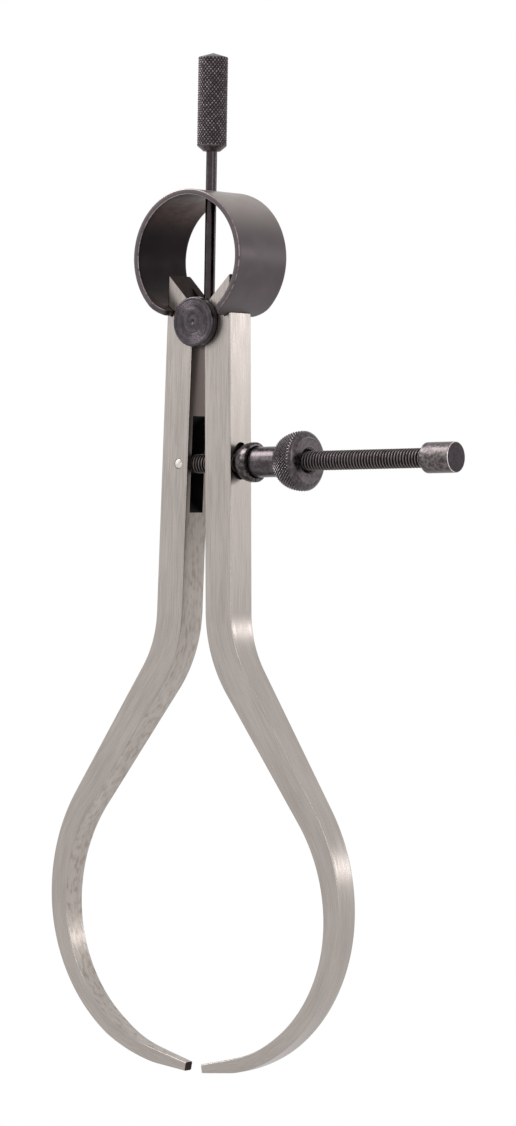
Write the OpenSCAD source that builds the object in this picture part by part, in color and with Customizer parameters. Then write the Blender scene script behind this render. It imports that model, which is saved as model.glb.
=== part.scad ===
// Outside spring caliper with a screw and nut, drawn in millimetres at its real size.
// The origin is the centre of the fulcrum roller. +Z runs up the handle, the front faces -Y,
// and the legs stand as far open as they were found.

/* [Legs] */
// Width of a leg across the front
leg_w = 6.5; // [5.5:0.1:8]
// Depth of a leg from front to back
leg_d = 6.9; // [6.2:0.1:9]
// Length of the straight part below the fulcrum
leg_straight = 58; // [50:0.5:75]
// Radius of the bend where a leg leaves the straight
bend_r = 25; // [15:0.5:35]
// Angle of the slanted part to the handle
slant_angle = 35; // [28:0.5:42]
// Length of the slanted part
slant_length = 31.3; // [22:0.1:40]
// Radius of the bow where a leg is widest
bow_r = 35; // [25:0.5:45]
// Radius of the curve that brings a leg back to its tip
return_r = 31.6; // [28:0.1:36]
// Angle of the tip to the handle
tip_angle = 80; // [70:1:86]
// Width of a leg just before its tip
nib_w = 2.8; // [2.2:0.1:3.6]
// Thickness of the tip
tip_w = 1.8; // [1:0.1:2.2]
// Gap between the tips as found
tip_gap = 4.2; // [1:0.1:8]
// Height of a leg's top corner over the fulcrum
tab_h = 9.4; // [7:0.1:11]

/* [Fulcrum] */
// Diameter of the roller that the legs swing on
roller_d = 6; // [5:0.1:8]
// Diameter of the roller's two flanges
flange_d = 10; // [8:0.1:13]
// Thickness of each flange
flange_t = 1.8; // [1:0.1:3]
// Distance between the legs' inner faces at the fulcrum
leg_spacing = 3; // [2.4:0.1:4.5]

/* [Bow spring] */
// Outer diameter of the bow spring
bow_d = 27; // [24:0.5:32]
// Thickness of its strip
bow_t = 1.2; // [0.8:0.1:1.8]
// Width of its strip
bow_w = 15.4; // [10:0.1:20]
// Angle from straight down where the strip ends
bow_end_angle = 30; // [26:0.5:34]
// Radius of the strip's rounded corners
bow_corner_r = 3.4; // [1:0.1:5]

/* [Handle] */
// Diameter of the plain stem
stem_d = 2.2; // [1.6:0.1:3]
// Diameter of the grip over its knurl
grip_d = 6; // [4.5:0.1:10]
// Length of the grip between its two cones
grip_l = 17.8; // [12:0.1:30]
// Height of the grip's lower cone over the fulcrum
grip_z = 34.2; // [29:0.1:45]

/* [Screw and nut] */
// Outer diameter of the screw's thread
screw_d = 3.9; // [3:0.1:4.4]
// Distance of the screw's pivot below the fulcrum
pivot_drop = 28.5; // [25:0.1:36]
// Distance of the pivot from the leg's inner face
pivot_inset = 2.2; // [1.8:0.05:3]
// Diameter of the pivot pin
pivot_pin_d = 1.9; // [1.2:0.1:2.4]
// Wall of the screw's eye round the pin
eye_wall = 1.2; // [0.6:0.1:1.4]
// Radius of the cutter that opened the left leg's slot
slot_cutter_r = 12.2; // [9:0.1:16]
// Depth of that slot at the pivot
slot_depth = 4.8; // [4.3:0.1:5.2]
// Rise of the screw from its pivot, in degrees
screw_rise = 1.9; // [0:0.1:3]
// Radius of the seat washer's ball nose
ball_r = 4; // [3.6:0.1:5]
// Mouth radius of the countersunk seat in the right leg
seat_r = 3.35; // [3:0.05:3.4]
// Gap between the ball nose and its seat as found
seat_gap = 0.7; // [0.4:0.05:1]
// Distance of the washer's flat face from the ball's centre
washer_face = 0.7; // [0.3:0.1:2]
// Depth of the recess that takes the nut's neck
recess_depth = 1; // [0.4:0.1:1.5]
// Diameter of the nut's neck
neck_d = 6.1; // [5:0.1:6.8]
// Length of the neck outside the washer
neck_l = 6.7; // [2:0.1:8]
// Largest diameter of the nut over its knurl
nut_d = 12; // [9:0.1:16]
// Length of the nut's knurled bell
bell_l = 5; // [4:0.1:12]
// Length of the nut's rounded outer end
nut_crown_l = 1.4; // [1:0.1:4]
// Diameter of the nut's flat outer face
nut_face_d = 9; // [7:0.1:9]
// Free screw between the nut and the end stop as found
free_screw = 27.9; // [27.1:0.1:45]
// Diameter of the end stop
stop_d = 6; // [5:0.1:9]
// Length of the end stop
stop_l = 7.3; // [4:0.1:14]

/* [Travel] */
// Angle of each leg to the handle as found
rest_angle = 1.5; // [1:0.1:3]
// Angle that each leg still opens from there
open_angle = 29.5; // [15:0.5:29.5]

/* [Hidden] */
$fn = 96;

// clearances
running = 0.06;
side_play = 0.1;
notch_play = 0.1;
// play past the strip's end, in degrees
notch_end_play = 0.6;
slot_play = 0.15;
stem_play = 0.15;
screw_play = 0.25;
// how far blanks and cutters run past what they shape
overrun = 2;

// legs
inner_x = leg_spacing / 2;
outer_x = inner_x + leg_w;
half_d = leg_d / 2;
// half depth at the widest level of the bow's lower side, and at the tip
low_half_d = leg_d / 3;
tip_half_d = leg_d / 10;
arc_steps = 7;
nib_taper = 0.13;
taper_power = 1.6;
// 45 degree cut over the fulcrum that lets the tops of the legs pass the stem
slope_offset = tab_h - outer_x + tab_h * sin(rest_angle);

// bow spring, whose ring passes just over the fulcrum
bow_ro = bow_d / 2;
bow_ri = bow_ro - bow_t;
bow_z = bow_ro - 0.7;

// handle
stem_r = stem_d / 2;
stem_root = roller_d / 3;
stem_cover = 3;
cone_l = 1;
cone_r = stem_r + 0.6;
apex_l = 0.8;

// screw line, measured along the screw from its pivot
screw_r = screw_d / 2;
pin_r = pivot_pin_d / 2;
// slope of the countersunk seat's wall, in degrees
seat_slope = 45;
eye_r = pin_r + eye_wall;
pin_x = (inner_x + pivot_inset) * cos(rest_angle) + pivot_drop * sin(rest_angle);
pin_z = (inner_x + pivot_inset) * sin(rest_angle) - pivot_drop * cos(rest_angle);
ball_standoff = (ball_r + seat_gap) / cos(seat_slope) - seat_r;
ball_s = (outer_x + ball_standoff + pin_x * cos(rest_angle) - pin_z * sin(rest_angle))
         / cos(screw_rise - rest_angle);
ball_x = -pin_x + ball_s * cos(screw_rise);
ball_z = pin_z + ball_s * sin(screw_rise);
// height of the ball's centre along the right leg
ball_drop = ball_x * sin(rest_angle) - ball_z * cos(rest_angle);
neck_r = neck_d / 2;
washer_s = ball_s + washer_face;
neck_s = washer_s - recess_depth + running;
bell_s = washer_s + neck_l;
rim_s = bell_s + bell_l;
nut_end_s = rim_s + nut_crown_l;
stop_s = nut_end_s + free_screw;
stop_end_s = stop_s + stop_l;
stop_wall = 1.5;
screw_end_s = stop_end_s - stop_wall;

// One point further on along a heading, measured from straight down towards +X
function ahead(p, length, heading) = p + length * [sin(heading), -cos(heading)];

// Points and headings along an arc that turns from one heading to another
function arc_path(p, r, from, to, steps) =
    let (side = sign(to - from))
    [for (i = [1:steps])
        let (h = from + (to - from) * i / steps)
        [p[0] + side * r * (cos(from) - cos(h)), p[1] - side * r * (sin(h) - sin(from)), h]];

function point_of(station) = [station[0], station[1]];
function last(list) = list[len(list) - 1];

// Centre line of the right leg as stations of x, z and heading
leg_top = [(inner_x + leg_w / 2) * cos(rest_angle) - tab_h * sin(rest_angle), tab_h + 1];
bend_start = ahead([(inner_x + leg_w / 2) * cos(rest_angle), 0], leg_straight, rest_angle);
bend = arc_path(bend_start, bend_r, rest_angle, slant_angle, arc_steps);
bow_start = ahead(point_of(last(bend)), slant_length, slant_angle);
bow = arc_path(bow_start, bow_r, slant_angle, 0, arc_steps);
back = arc_path(point_of(last(bow)), return_r, 0, -tip_angle, 2 * arc_steps);
tip_run = max(1, (last(back)[0] - tip_gap / 2) / sin(tip_angle));
tip_end = ahead(point_of(last(back)), tip_run, -tip_angle);
nib_length = (nib_w - tip_w) / nib_taper;
nib_start = ahead(tip_end, -min(nib_length, tip_run * 0.9), -tip_angle);
leg_line = concat(
    [[leg_top[0], leg_top[1], rest_angle], [bend_start[0], bend_start[1], rest_angle]],
    bend,
    [[bow_start[0], bow_start[1], slant_angle]],
    bow,
    back,
    [[nib_start[0], nib_start[1], -tip_angle], [tip_end[0], tip_end[1], -tip_angle]]);

// Distance along the leg up to a station
function run(i) = i == 0 ? 0 : run(i - 1) + norm(point_of(leg_line[i]) - point_of(leg_line[i - 1]));
taper_start = run(arc_steps + 1);
leg_run = run(len(leg_line) - 1);

function leg_width(s) =
    let (left = max(0, min(1, (leg_run - s) / (leg_run - taper_start))))
    min(nib_w + (leg_w - nib_w) * pow(left, taper_power), tip_w + nib_taper * (leg_run - s));

function edge(side) = [for (i = [0:len(leg_line) - 1])
    let (h = leg_line[i][2], w = leg_width(run(i)) / 2)
    point_of(leg_line[i]) + side * w * [cos(h), sin(h)]];
function reversed(list) = [for (i = [len(list) - 1:-1:0]) list[i]];

// Turns what is drawn along the handle into the line of the right leg
module in_leg() {
    rotate([0, -rest_angle, 0]) children();
}

// Puts what is drawn along +X on the screw's line, with its origin on the pivot
module on_screw() {
    translate([-pin_x, 0, pin_z]) rotate([0, -screw_rise, 0]) children();
}

// A cylinder along +X from one place to another
module bar(r, from, to) {
    translate([from, 0, 0]) rotate([0, 90, 0]) cylinder(r = r, h = to - from);
}

// A cylinder along Y, centred on the middle plane
module cross_bar(r, length) {
    rotate([90, 0, 0]) cylinder(r = r, h = length, center = true);
}

// The leg's outline from the front, cut to its depth seen from the side
module leg_blank() {
    low_z = bend_start[1];
    return_z = last(back)[1] + return_r * 0.15;
    end_z = tip_end[1] - tip_w;
    intersection() {
        rotate([90, 0, 0]) linear_extrude(leg_d + 1, center = true)
            polygon(concat(edge(1), reversed(edge(-1))));
        rotate([90, 0, 90]) linear_extrude(2 * leg_run)
            polygon([[half_d, tab_h + overrun], [half_d, low_z], [low_half_d, return_z],
                     [tip_half_d, end_z], [-tip_half_d, end_z], [-low_half_d, return_z],
                     [-half_d, low_z], [-half_d, tab_h + overrun]]);
    }
}

// Everything above the 45 degree cut
module top_cut() {
    translate([0, 0, slope_offset]) rotate([0, -45, 0])
        translate([-tab_h, -leg_d, 0]) cube([4 * tab_h, 2 * leg_d, 2 * tab_h]);
}

// The stretch of ring that the end of the spring fills, with its play
module spring_notch() {
    intersection() {
        translate([0, 0, bow_z]) difference() {
            cross_bar(bow_ro + notch_play, leg_d + 1);
            cross_bar(bow_ri - notch_play, leg_d + 2);
        }
        translate([0, 0, bow_z]) rotate([0, notch_end_play - bow_end_angle, 0])
            translate([0, -leg_d, -bow_d]) cube([bow_d, 2 * leg_d, bow_d]);
    }
}

// Room that the leg's top needs beside the stem and the other leg when it is fully open
module opened_room() {
    rotate([0, open_angle, 0]) {
        translate([-tab_h, -leg_d, 0]) cube([tab_h + running, 2 * leg_d, 2 * tab_h]);
        translate([-tab_h, -stem_r - stem_play, 0])
            cube([tab_h + stem_r + stem_play, stem_d + 2 * stem_play, 2 * tab_h]);
    }
}

// A leg with its roller seat, its notch for the spring and its sloping top
module leg_body() {
    difference() {
        leg_blank();
        top_cut();
        cross_bar(roller_d / 2 + running, leg_d + 1);
        spring_notch();
        opened_room();
    }
}

// The passage that the screw swings in, opening upwards towards the inner face
module screw_passage() {
    low = 2;
    high = open_angle - 1.5;
    reach = ball_standoff + leg_w + 1;
    room = screw_r + screw_play;
    translate([outer_x + ball_standoff, 0, -ball_drop])
        rotate([90, 0, 0]) linear_extrude(screw_d + 2 * slot_play, center = true)
            polygon([[0, -room], [0, room / cos(high)],
                     [-reach, room / cos(high) + reach * tan(high)],
                     [-reach, -room - reach * tan(low)]]);
}

module left_leg() {
    color("#A9A19D") difference() {
        mirror([1, 0, 0]) leg_body();
        mirror([1, 0, 0]) in_leg() {
            translate([inner_x + slot_depth - slot_cutter_r, 0, -pivot_drop])
                cross_bar(slot_cutter_r, screw_d + 2 * slot_play);
            translate([inner_x + pivot_inset, 0, -pivot_drop]) cross_bar(pin_r, leg_d + 1);
        }
    }
}

module right_leg() {
    color("#B4ADA6") difference() {
        leg_body();
        in_leg() {
            screw_passage();
            translate([outer_x - seat_r, 0, -ball_drop]) rotate([0, 90, 0])
                cylinder(r1 = 0, r2 = seat_r + 1, h = seat_r + 1);
        }
    }
}

module bow_spring() {
    color("#4E484B") difference() {
        translate([0, 0, bow_z]) cross_bar(bow_ro, bow_w);
        translate([0, 0, bow_z]) cross_bar(bow_ri, bow_w + 1);
        // the open part between the two ends
        rotate([90, 0, 0]) linear_extrude(bow_w + 1, center = true)
            polygon([[0, bow_z], bow_d * [sin(bow_end_angle), bow_z / bow_d - cos(bow_end_angle)],
                     bow_d * [-sin(bow_end_angle), bow_z / bow_d - cos(bow_end_angle)]]);
        // rounded corners at the ends, seen from below
        for (x_side = [0, 1], y_side = [0, 1])
            mirror([x_side, 0, 0]) mirror([0, y_side, 0]) corner_waste();
        translate([0, 0, bow_z]) cylinder(r = stem_r + stem_play, h = bow_ro + 1);
    }
}

// What rounding one corner of the strip takes away; the round stops just short of tangent
module corner_waste() {
    inset = 0.96 * bow_corner_r;
    translate([bow_ri * sin(bow_end_angle) + inset, bow_w / 2 - inset, -1]) difference() {
        translate([-bow_corner_r - 2, 0, 0]) cube([bow_corner_r + 2, bow_corner_r, bow_z / 2]);
        translate([0, 0, -1]) cylinder(r = bow_corner_r, h = bow_z);
    }
}

module fulcrum_roller() {
    body_l = leg_d + 2 * side_play;
    color("#55504F") difference() {
        union() {
            cross_bar(roller_d / 2, body_l + 1);
            for (side = [-1, 1])
                translate([0, side * (body_l + flange_t) / 2, 0])
                    cross_bar(flange_d / 2, flange_t);
        }
        translate([0, 0, -stem_root]) cylinder(r = stem_r, h = roller_d);
        // centre mark left by the lathe
        translate([0, -body_l / 2 - flange_t, 0]) rotate([90, 0, 0])
            cylinder(r1 = 0, r2 = 0.8, h = 0.8, center = true);
    }
}

module handle_stem() {
    color("#5A5556") translate([0, 0, -stem_root])
        cylinder(r = stem_r, h = grip_z + cone_l + grip_l - stem_cover + stem_root);
}

module handle_grip() {
    color("#5F5658") difference() {
        translate([0, 0, grip_z]) union() {
            cylinder(r1 = cone_r, r2 = grip_d / 2, h = cone_l);
            translate([0, 0, cone_l]) cylinder(d = grip_d, h = grip_l);
            translate([0, 0, cone_l + grip_l]) cylinder(d1 = grip_d, d2 = 0.4, h = apex_l);
        }
        cylinder(r = stem_r, h = grip_z + cone_l + grip_l - stem_cover);
    }
}

module adjusting_screw() {
    color("#4A4547") on_screw() difference() {
        union() {
            cross_bar(eye_r, screw_d);
            bar(screw_r, 0, screw_end_s);
        }
        cross_bar(pin_r + running, screw_d + 1);
    }
}

module screw_pivot_pin() {
    color("#D8D4CE") mirror([1, 0, 0]) in_leg()
        translate([inner_x + pivot_inset, 0, -pivot_drop]) cross_bar(pin_r, leg_d);
}

module seat_washer() {
    color("#524C4E") on_screw() difference() {
        translate([ball_s, 0, 0]) intersection() {
            sphere(r = ball_r);
            bar(ball_r + 1, -ball_r - 1, washer_face);
        }
        bar(screw_r + side_play, ball_s - ball_r - 1, washer_s + 1);
        bar(neck_r + side_play, washer_s - recess_depth, washer_s + 1);
    }
}

// Outline of the nut from its neck to its flat face, as radius against place
function bell_outline(steps) = [for (i = [0:steps])
    let (left = 1 - i / steps)
    [neck_r + (nut_d / 2 - neck_r) * sqrt(1 - left * left), bell_s + i / steps * bell_l]];
function crown_outline(steps) = [for (i = [1:steps])
    let (a = 90 * i / steps)
    [(nut_face_d + (nut_d - nut_face_d) * cos(a)) / 2, rim_s + nut_crown_l * sin(a)]];

module adjusting_nut() {
    bore_r = screw_r + running;
    mouth_r = screw_r + 0.8;
    color("#5C5456") on_screw() rotate([0, 90, 0]) rotate_extrude()
        polygon(concat(
            [[bore_r, neck_s], [neck_r, neck_s]],
            bell_outline(10),
            crown_outline(6),
            [[mouth_r, nut_end_s], [bore_r, nut_end_s - mouth_r + bore_r]]));
}

module end_stop() {
    chamfer = 0.7;
    color("#4B4547") on_screw() difference() {
        rotate([0, 90, 0]) rotate_extrude()
            polygon([[0, stop_s], [stop_d / 2 - chamfer, stop_s], [stop_d / 2, stop_s + chamfer],
                     [stop_d / 2, stop_end_s], [0, stop_end_s]]);
        bar(screw_r, stop_s - 1, screw_end_s);
    }
}

left_leg();
right_leg();
bow_spring();
fulcrum_roller();
handle_stem();
handle_grip();
adjusting_screw();
screw_pivot_pin();
seat_washer();
adjusting_nut();
end_stop();
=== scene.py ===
import logging
import math
from dataclasses import dataclass, field
from enum import Enum
from itertools import product
from typing import Any, Callable, Sequence

import bmesh
import bpy
import numpy as np
from mathutils import Matrix, Vector


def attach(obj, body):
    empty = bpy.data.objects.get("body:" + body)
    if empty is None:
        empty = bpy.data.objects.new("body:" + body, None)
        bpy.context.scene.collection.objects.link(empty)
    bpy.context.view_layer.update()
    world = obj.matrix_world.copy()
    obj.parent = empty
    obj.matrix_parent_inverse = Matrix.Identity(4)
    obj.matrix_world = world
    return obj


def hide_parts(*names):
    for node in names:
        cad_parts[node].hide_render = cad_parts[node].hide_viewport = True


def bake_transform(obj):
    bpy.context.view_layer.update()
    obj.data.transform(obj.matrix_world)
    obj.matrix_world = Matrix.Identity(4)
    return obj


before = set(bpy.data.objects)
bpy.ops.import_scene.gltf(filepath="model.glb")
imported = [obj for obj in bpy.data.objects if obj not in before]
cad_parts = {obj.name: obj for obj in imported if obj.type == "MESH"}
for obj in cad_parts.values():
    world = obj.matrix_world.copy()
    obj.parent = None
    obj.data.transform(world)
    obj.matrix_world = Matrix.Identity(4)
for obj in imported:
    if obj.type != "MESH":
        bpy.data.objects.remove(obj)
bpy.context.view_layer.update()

# Outside spring caliper: the visible pieces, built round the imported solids.
# Sizes in the classes are millimetres and degrees; finished meshes are in metres.

LOG = logging.getLogger("caliper")
MM = 0.001
FULL_TURN = 2 * math.pi
# what ridged steel reads as its crest value where there are no ridges
PLAIN_CREST = 0.6
# crease angle of a piece that is smooth all over
SMOOTH = 180.0

Place = tuple[float, float, float]
Profile = list[tuple[float, float]]


class Body(str, Enum):
    """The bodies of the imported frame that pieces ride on."""

    HEAD = "head"
    LEFT_LEG = "left_leg"
    RIGHT_LEG = "right_leg"
    SCREW = "screw"
    WASHER = "washer"
    NUT = "nut"


class Side(Enum):
    """The two sides of the caliper, seen from the front."""

    LEFT = -1
    RIGHT = 1


class Slot(str, Enum):
    """Names of material slots."""

    LEG = "leg_steel"
    BLUED = "blued_steel"
    TURNED = "turned_steel"
    KNURLED = "knurled_steel"
    BRIGHT = "bright_steel"


def linear(hex_colour: str, alpha: float = 1.0) -> tuple[float, float, float, float]:
    """Turns an sRGB hex colour to the linear values that shaders take.

    Args:
        hex_colour: six digits after a hash sign.
        alpha: the fourth value.

    Returns:
        Linear red, green, blue and alpha.
    """
    values = [int(hex_colour[i:i + 2], 16) / 255 for i in (1, 3, 5)]
    turned = [v / 12.92 if v <= 0.04045 else ((v + 0.055) / 1.055) ** 2.4 for v in values]
    return (turned[0], turned[1], turned[2], alpha)


def add_node(tree: bpy.types.NodeTree, kind: str, inputs: dict | None = None,
             **settings: Any) -> bpy.types.Node:
    """Adds a node with its settings, and sets or links its inputs.

    Args:
        tree: the tree that gets the node.
        kind: Blender's name of the node type.
        inputs: values, hex colours, output sockets, or nodes whose first output in use is meant,
            by input name or number.
        settings: the node's own properties.

    Returns:
        The new node.
    """
    node = tree.nodes.new(kind)
    for name, value in settings.items():
        setattr(node, name, value)
    for name, value in (inputs or {}).items():
        if isinstance(value, bpy.types.Node):
            value = next(output for output in value.outputs if output.enabled)
        if isinstance(value, bpy.types.NodeSocket):
            tree.links.new(value, node.inputs[name])
        else:
            is_colour = isinstance(value, str) and value.startswith("#")
            node.inputs[name].default_value = linear(value) if is_colour else value
    return node


@dataclass(frozen=True)
class Finish:
    """What all the steel finishes share: two tones, a gloss and a relief."""

    name: str
    dark: str
    light: str
    roughness: float
    metallic: float = 1.0
    # how strongly the layer on the metal mirrors; 0.5 is plain
    specular: float = 0.5
    # height of the relief in millimetres, and how much of it shows
    relief: float = 0.01
    strength: float = 0.6
    # what the gloss pattern takes off the roughness at its lows and adds at its highs
    spread: tuple[float, float] = (0.05, 0.06)

    def build(self) -> bpy.types.Material:
        """Makes the material.

        Returns:
            The material with its nodes.
        """
        material = bpy.data.materials.new(self.name)
        material.use_nodes = True
        material.node_tree.nodes.clear()
        self.paint(material.node_tree)
        return material

    def paint(self, tree: bpy.types.NodeTree) -> None:
        """Adds the finish's own patterns and ends with coat."""
        raise NotImplementedError

    def coat(self, tree: bpy.types.NodeTree, colour: Any, height: Any, gloss: Any = None) -> None:
        """Joins colour, gloss and relief in the shader.

        Args:
            tree: the material's tree.
            colour: the surface's colour.
            height: pattern of the relief, from 0 to 1.
            gloss: pattern that varies the roughness, or None for an even one.
        """
        roughness: Any = self.roughness
        if gloss is not None:
            less, more = self.spread
            roughness = add_node(tree, "ShaderNodeMapRange",
                                 {0: gloss, 1: 0.3, 2: 0.7, 3: roughness - less, 4: roughness + more},
                                 interpolation_type="SMOOTHSTEP")
        bump = add_node(tree, "ShaderNodeBump",
                        {"Height": height, "Strength": self.strength, "Distance": self.relief * MM})
        shader = add_node(tree, "ShaderNodeBsdfPrincipled",
                          {"Base Color": colour, "Metallic": self.metallic, "Roughness": roughness,
                           "Specular IOR Level": self.specular, "Normal": bump})
        add_node(tree, "ShaderNodeOutputMaterial", {"Surface": shader})

    def grains(self, tree: bpy.types.NodeTree, where: Any, density: Place, detail: float = 2.0) -> Any:
        """Scales a place in millimetres and makes grains of a real size there.

        Args:
            tree: the material's tree.
            where: the place's output.
            density: grains per millimetre along each of its directions.
            detail: Blender's octaves.

        Returns:
            The pattern, from 0 to 1.
        """
        scaled = add_node(tree, "ShaderNodeVectorMath", {0: where, 1: density}, operation="MULTIPLY")
        return add_node(tree, "ShaderNodeTexNoise", {"Vector": scaled, "Scale": 1.0, "Detail": detail})

    def joined(self, tree: bpy.types.NodeTree, operation: str, *steps: tuple) -> Any:
        """Steps two patterns smoothly between levels, then adds or multiplies them.

        Args:
            tree: the material's tree.
            operation: ADD or MULTIPLY.
            steps: for each pattern itself, the levels where its step starts and ends, and, where
                they aren't 0 and 1, the results below and above it.

        Returns:
            The joined pattern.
        """
        made = [add_node(tree, "ShaderNodeMapRange", dict(enumerate(step)), interpolation_type="SMOOTHSTEP")
                for step in steps]
        return add_node(tree, "ShaderNodeMath", {0: made[0], 1: made[1]}, operation=operation)

    def faded(self, tree: bpy.types.NodeTree, pattern: Any, levels: tuple[float, float], first: Any,
              second: Any, most: float = 1.0) -> Any:
        """Goes from one colour to another between two levels of a pattern.

        Args:
            tree: the material's tree.
            pattern: the pattern to follow.
            levels: where the second colour starts, and where it is reached.
            first: colour below the levels.
            second: colour above them.
            most: largest share of the second colour.

        Returns:
            The colour.
        """
        share = add_node(tree, "ShaderNodeMapRange", {0: pattern, 1: levels[0], 2: levels[1], 4: most},
                         interpolation_type="SMOOTHSTEP")
        return add_node(tree, "ShaderNodeMix", {0: share, 6: first, 7: second}, data_type="RGBA")

    def millimetres(self, tree: bpy.types.NodeTree) -> Any:
        """Reads the object's own coordinates and gives them in millimetres."""
        place = add_node(tree, "ShaderNodeTexCoord").outputs["Object"]
        return add_node(tree, "ShaderNodeVectorMath", {0: place, "Scale": 1 / MM}, operation="SCALE")


@dataclass(frozen=True)
class GroundSteel(Finish):
    """Carbon steel surface-ground along the leg: silky, with fine scratches that run lengthwise."""

    strength: float = 0.5
    # grains per millimetre along the leg and twice across it
    scratches: Place = (0.16, 6.5, 6.5)
    shades: Place = (0.06, 0.5, 0.5)
    # the scratches' part in the tone, and the levels where the tone is darkest and lightest
    scratched: float = 0.55
    levels: tuple[float, float] = (0.34, 0.66)

    def paint(self, tree: bpy.types.NodeTree) -> None:
        """Draws the scratches over broader shades.

        Args:
            tree: the material's tree.
        """
        grain = add_node(tree, "ShaderNodeAttribute", attribute_name="grain").outputs["Vector"]
        scratch = self.grains(tree, grain, self.scratches, 4.0)
        shade = self.grains(tree, grain, self.shades, 3.0)
        tone = add_node(tree, "ShaderNodeMath", {0: scratch, 1: self.scratched}, operation="MULTIPLY")
        tone = add_node(tree, "ShaderNodeMath", {0: shade, 1: 1 - self.scratched, 2: tone},
                        operation="MULTIPLY_ADD")
        colour = self.faded(tree, tone, self.levels, self.dark, self.light)
        self.coat(tree, self.tinted(tree, grain, colour), scratch, scratch)

    def tinted(self, tree: bpy.types.NodeTree, grain: Any, colour: Any) -> Any:
        """Gives the ground colour back as it is, for the inner faces to stain and shade."""
        return colour


@dataclass(frozen=True)
class WornGroundSteel(GroundSteel):
    """Ground steel on the legs' inner faces: brown spots from handling, and painted shade that darkens them
    towards the top, between the legs.
    """

    stain: str = "#8F857C"
    # the painted shade between the legs, towards their tops
    dull: str = "#625955"
    # spots per millimetre along the leg and across it, their levels and how much they cover
    spots: Place = (0.55, 1.3, 1.3)
    spot_levels: tuple[float, float] = (0.44, 0.7)
    cover: float = 0.85
    # heights over the fulcrum between which the painted shade fades in, darkest towards the top
    skin: tuple[float, float] = (-66.0, -16.0)

    def tinted(self, tree: bpy.types.NodeTree, grain: Any, colour: Any) -> Any:
        """Adds the spots and the painted shade towards the top.

        Args:
            tree: the material's tree.
            grain: output with the places along and across the leg.
            colour: the ground colour.

        Returns:
            The worn colour.
        """
        spots = self.grains(tree, grain, self.spots, 4.0)
        stained = self.faded(tree, spots, self.spot_levels, colour, self.stain, self.cover)
        height = add_node(tree, "ShaderNodeSeparateXYZ", {0: self.millimetres(tree)}).outputs["Z"]
        # painted shade: the inner faces darken towards the top, between the legs
        return self.faded(tree, height, self.skin, stained, self.dull)


@dataclass(frozen=True)
class MottledSteel(Finish):
    """Blackened steel: patchy brown-black tones with paler worn spots; on the legs the same pattern is
    near-black painted shade in hollows and slots.
    """

    spread: tuple[float, float] = (0.08, 0.1)
    # size of the patches and of the flecks, in millimetres, and the levels where they set in and end
    patch: float = 1.1
    fleck: float = 0.28
    patch_levels: tuple[float, float] = (0.35, 0.7)
    fleck_levels: tuple[float, float] = (0.55, 0.72)
    # the flecks' part in the tone
    worn: float = 0.25

    def paint(self, tree: bpy.types.NodeTree) -> None:
        """Draws flecks over patches.

        Args:
            tree: the material's tree.
        """
        place = self.millimetres(tree)
        patches = self.grains(tree, place, (1 / self.patch,) * 3, 3.0)
        flecks = self.grains(tree, place, (1 / self.fleck,) * 3)
        share = self.joined(tree, "ADD", (patches, *self.patch_levels, 0.0, 1 - self.worn),
                            (flecks, *self.fleck_levels, 0.0, self.worn))
        colour = add_node(tree, "ShaderNodeMix", {0: share, 6: self.dark, 7: self.light}, data_type="RGBA")
        self.coat(tree, colour, flecks, patches)


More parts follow.
